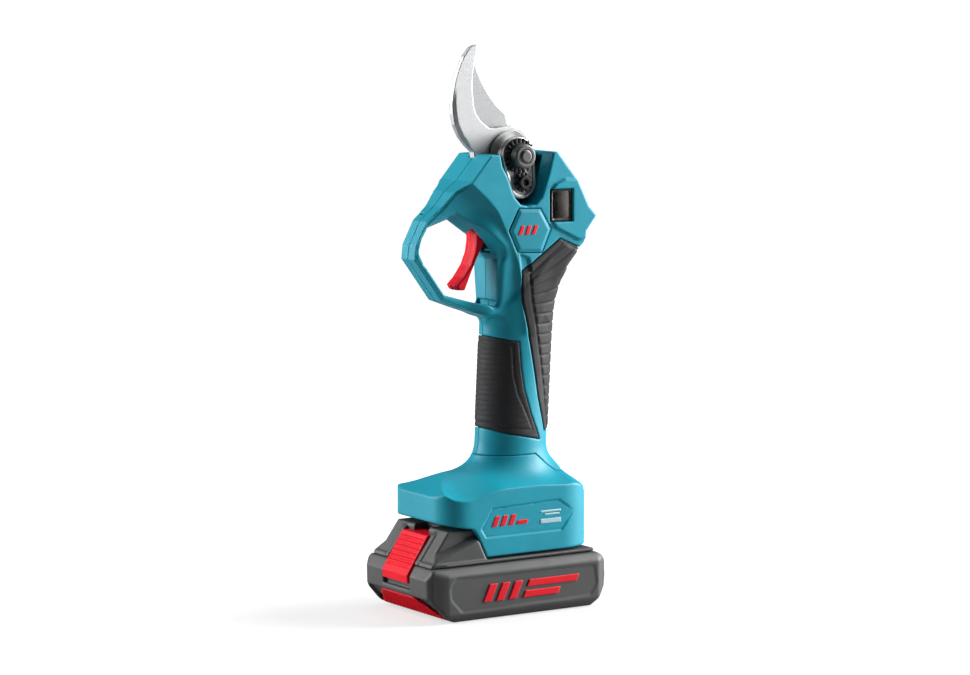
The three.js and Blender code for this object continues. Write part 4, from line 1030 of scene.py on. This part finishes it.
# ------------------------------------------------------------------ looks of the inner CAD pieces
INNER_LOOKS = {
    "blade_sector": BRIGHT, "bevel_pinion": BRIGHT, "planet_carrier": BRIGHT,
    "shaft_bearing": BRIGHT, "gearbox_case": CAST, "gearbox_cap": CAST, "sun_gear": BRASS,
    "motor_can": BRIGHT, "motor_end_cap": BLACK, "motor_rotor": COPPER,
    "motor_magnet_right": DARK, "motor_magnet_left": DARK,
    "trigger_pin": BRIGHT, "trigger_switch": BLACK, "switch_plunger": BLACK,
    "terminal_block": BLACK, "control_board": BOARD, "cell_board": BOARD, "button_spring": BRIGHT,
    **{f"planet_gear_{number}": BRASS for number in range(1, 4)},
    **{f"terminal_blade_{number}": BRASS for number in range(1, 4)},
    **{f"cell_{number}": WRAP for number in range(1, 6)},
    **{f"shell_screw_{number}": DARK for number in range(1, 7)},
}


def dress_inner_pieces():
    for node, material in INNER_LOOKS.items():
        piece = frame["nodes"][node]
        piece.data.materials.clear()
        piece.data.materials.append(material)


# ------------------------------------------------------------------ stage
def build_stage():
    material, nodes, links, shader = new_material("floor_paper")
    tone = mix_color(nodes, links, noise(nodes, links, 6, 3), (0.3, 0.3, 0.3), (0.33, 0.33, 0.33))
    links.new(tone, shader.inputs["Base Color"])
    shader.inputs["Roughness"].default_value = 0.75
    # The camera sees the paper run out into plain white away from the tool.
    place = nodes.new("ShaderNodeNewGeometry")
    distance = nodes.new("ShaderNodeVectorMath")
    distance.operation = "LENGTH"
    links.new(place.outputs["Position"], distance.inputs[0])
    path = nodes.new("ShaderNodeLightPath")
    lift = nodes.new("ShaderNodeMath")
    lift.operation = "MULTIPLY"
    links.new(spread(nodes, links, distance.outputs["Value"], 0.12, 0.6, 0.62, 1.0), lift.inputs[0])
    links.new(path.outputs["Is Camera Ray"], lift.inputs[1])
    shader.inputs["Emission Color"].default_value = (1, 1, 1, 1)
    links.new(lift.outputs["Value"], shader.inputs["Emission Strength"])
    size = 6.0
    mesh = bpy.data.meshes.new("floor")
    corners = [(-size, -size, 0), (size, -size, 0), (size, size, 0), (-size, size, 0)]
    mesh.from_pydata(corners, [], [(0, 1, 2, 3)])
    mesh.materials.append(material)
    floor = bpy.data.objects.new("floor", mesh)
    bpy.context.scene.collection.objects.link(floor)

    world = bpy.data.worlds.new("studio")
    bpy.context.scene.world = world
    world.use_nodes = True
    background = world.node_tree.nodes["Background"]
    background.inputs["Color"].default_value = (1, 1, 1, 1)
    # The camera sees white; everything else gets only a little light from the room.
    nodes = world.node_tree.nodes
    links = world.node_tree.links
    path = nodes.new("ShaderNodeLightPath")
    strength = spread(nodes, links, path.outputs["Is Camera Ray"], 0, 1, 0.035, 1.0)
    links.new(strength, background.inputs["Strength"])
    bpy.context.scene.view_settings.view_transform = "Standard"


def add_softbox(name, azimuth, height, distance, width, tall, power):
    """An area light that faces the middle of the tool; azimuth 0 is on the -Y side.

    Sizes are in metres and the power is in watts.
    """
    target = Vector((0, 0, 0.16))
    angle = math.radians(azimuth)
    place = Vector((distance * math.sin(angle), -distance * math.cos(angle), height))
    lamp = bpy.data.lights.new(name, "AREA")
    lamp.shape = "RECTANGLE"
    lamp.size = width
    lamp.size_y = tall
    lamp.energy = power
    item = bpy.data.objects.new(name, lamp)
    item.location = place
    item.rotation_euler = (target - place).to_track_quat("-Z", "Y").to_euler()
    bpy.context.scene.collection.objects.link(item)


def build_camera():
    """The picture's view: 33 degrees round to the front, 6.65 degrees up, a long lens."""
    azimuth = math.radians(-33)
    elevation = math.radians(6.65)
    distance = 1.842
    aim = Vector((-0.049, -0.0763, 0.165))
    level = math.cos(elevation)
    back = Vector((math.sin(azimuth) * level, -math.cos(azimuth) * level, math.sin(elevation)))
    data = bpy.data.cameras.new("camera")
    data.sensor_width = 36
    # A lens length in millimetres, fitted so that the tool is framed as in the photo.
    data.lens = 126.4825
    camera = bpy.data.objects.new("camera", data)
    camera.location = aim + back * distance
    camera.rotation_euler = (-back).to_track_quat("-Z", "Y").to_euler()
    bpy.context.scene.collection.objects.link(camera)
    bpy.context.scene.camera = camera


build_shells()
build_trim()
build_blades()
build_pivot_hardware()
build_trigger()
build_foot()
build_battery()
dress_inner_pieces()
build_stage()
add_softbox("left_softbox", -126, 0.55, 1.3, 0.9, 1.4, 31)
add_softbox("right_softbox", 70, 0.6, 1.4, 0.8, 1.4, 66)
add_softbox("top_softbox", 150, 1.5, 0.5, 1.2, 1.2, 7)
build_camera()
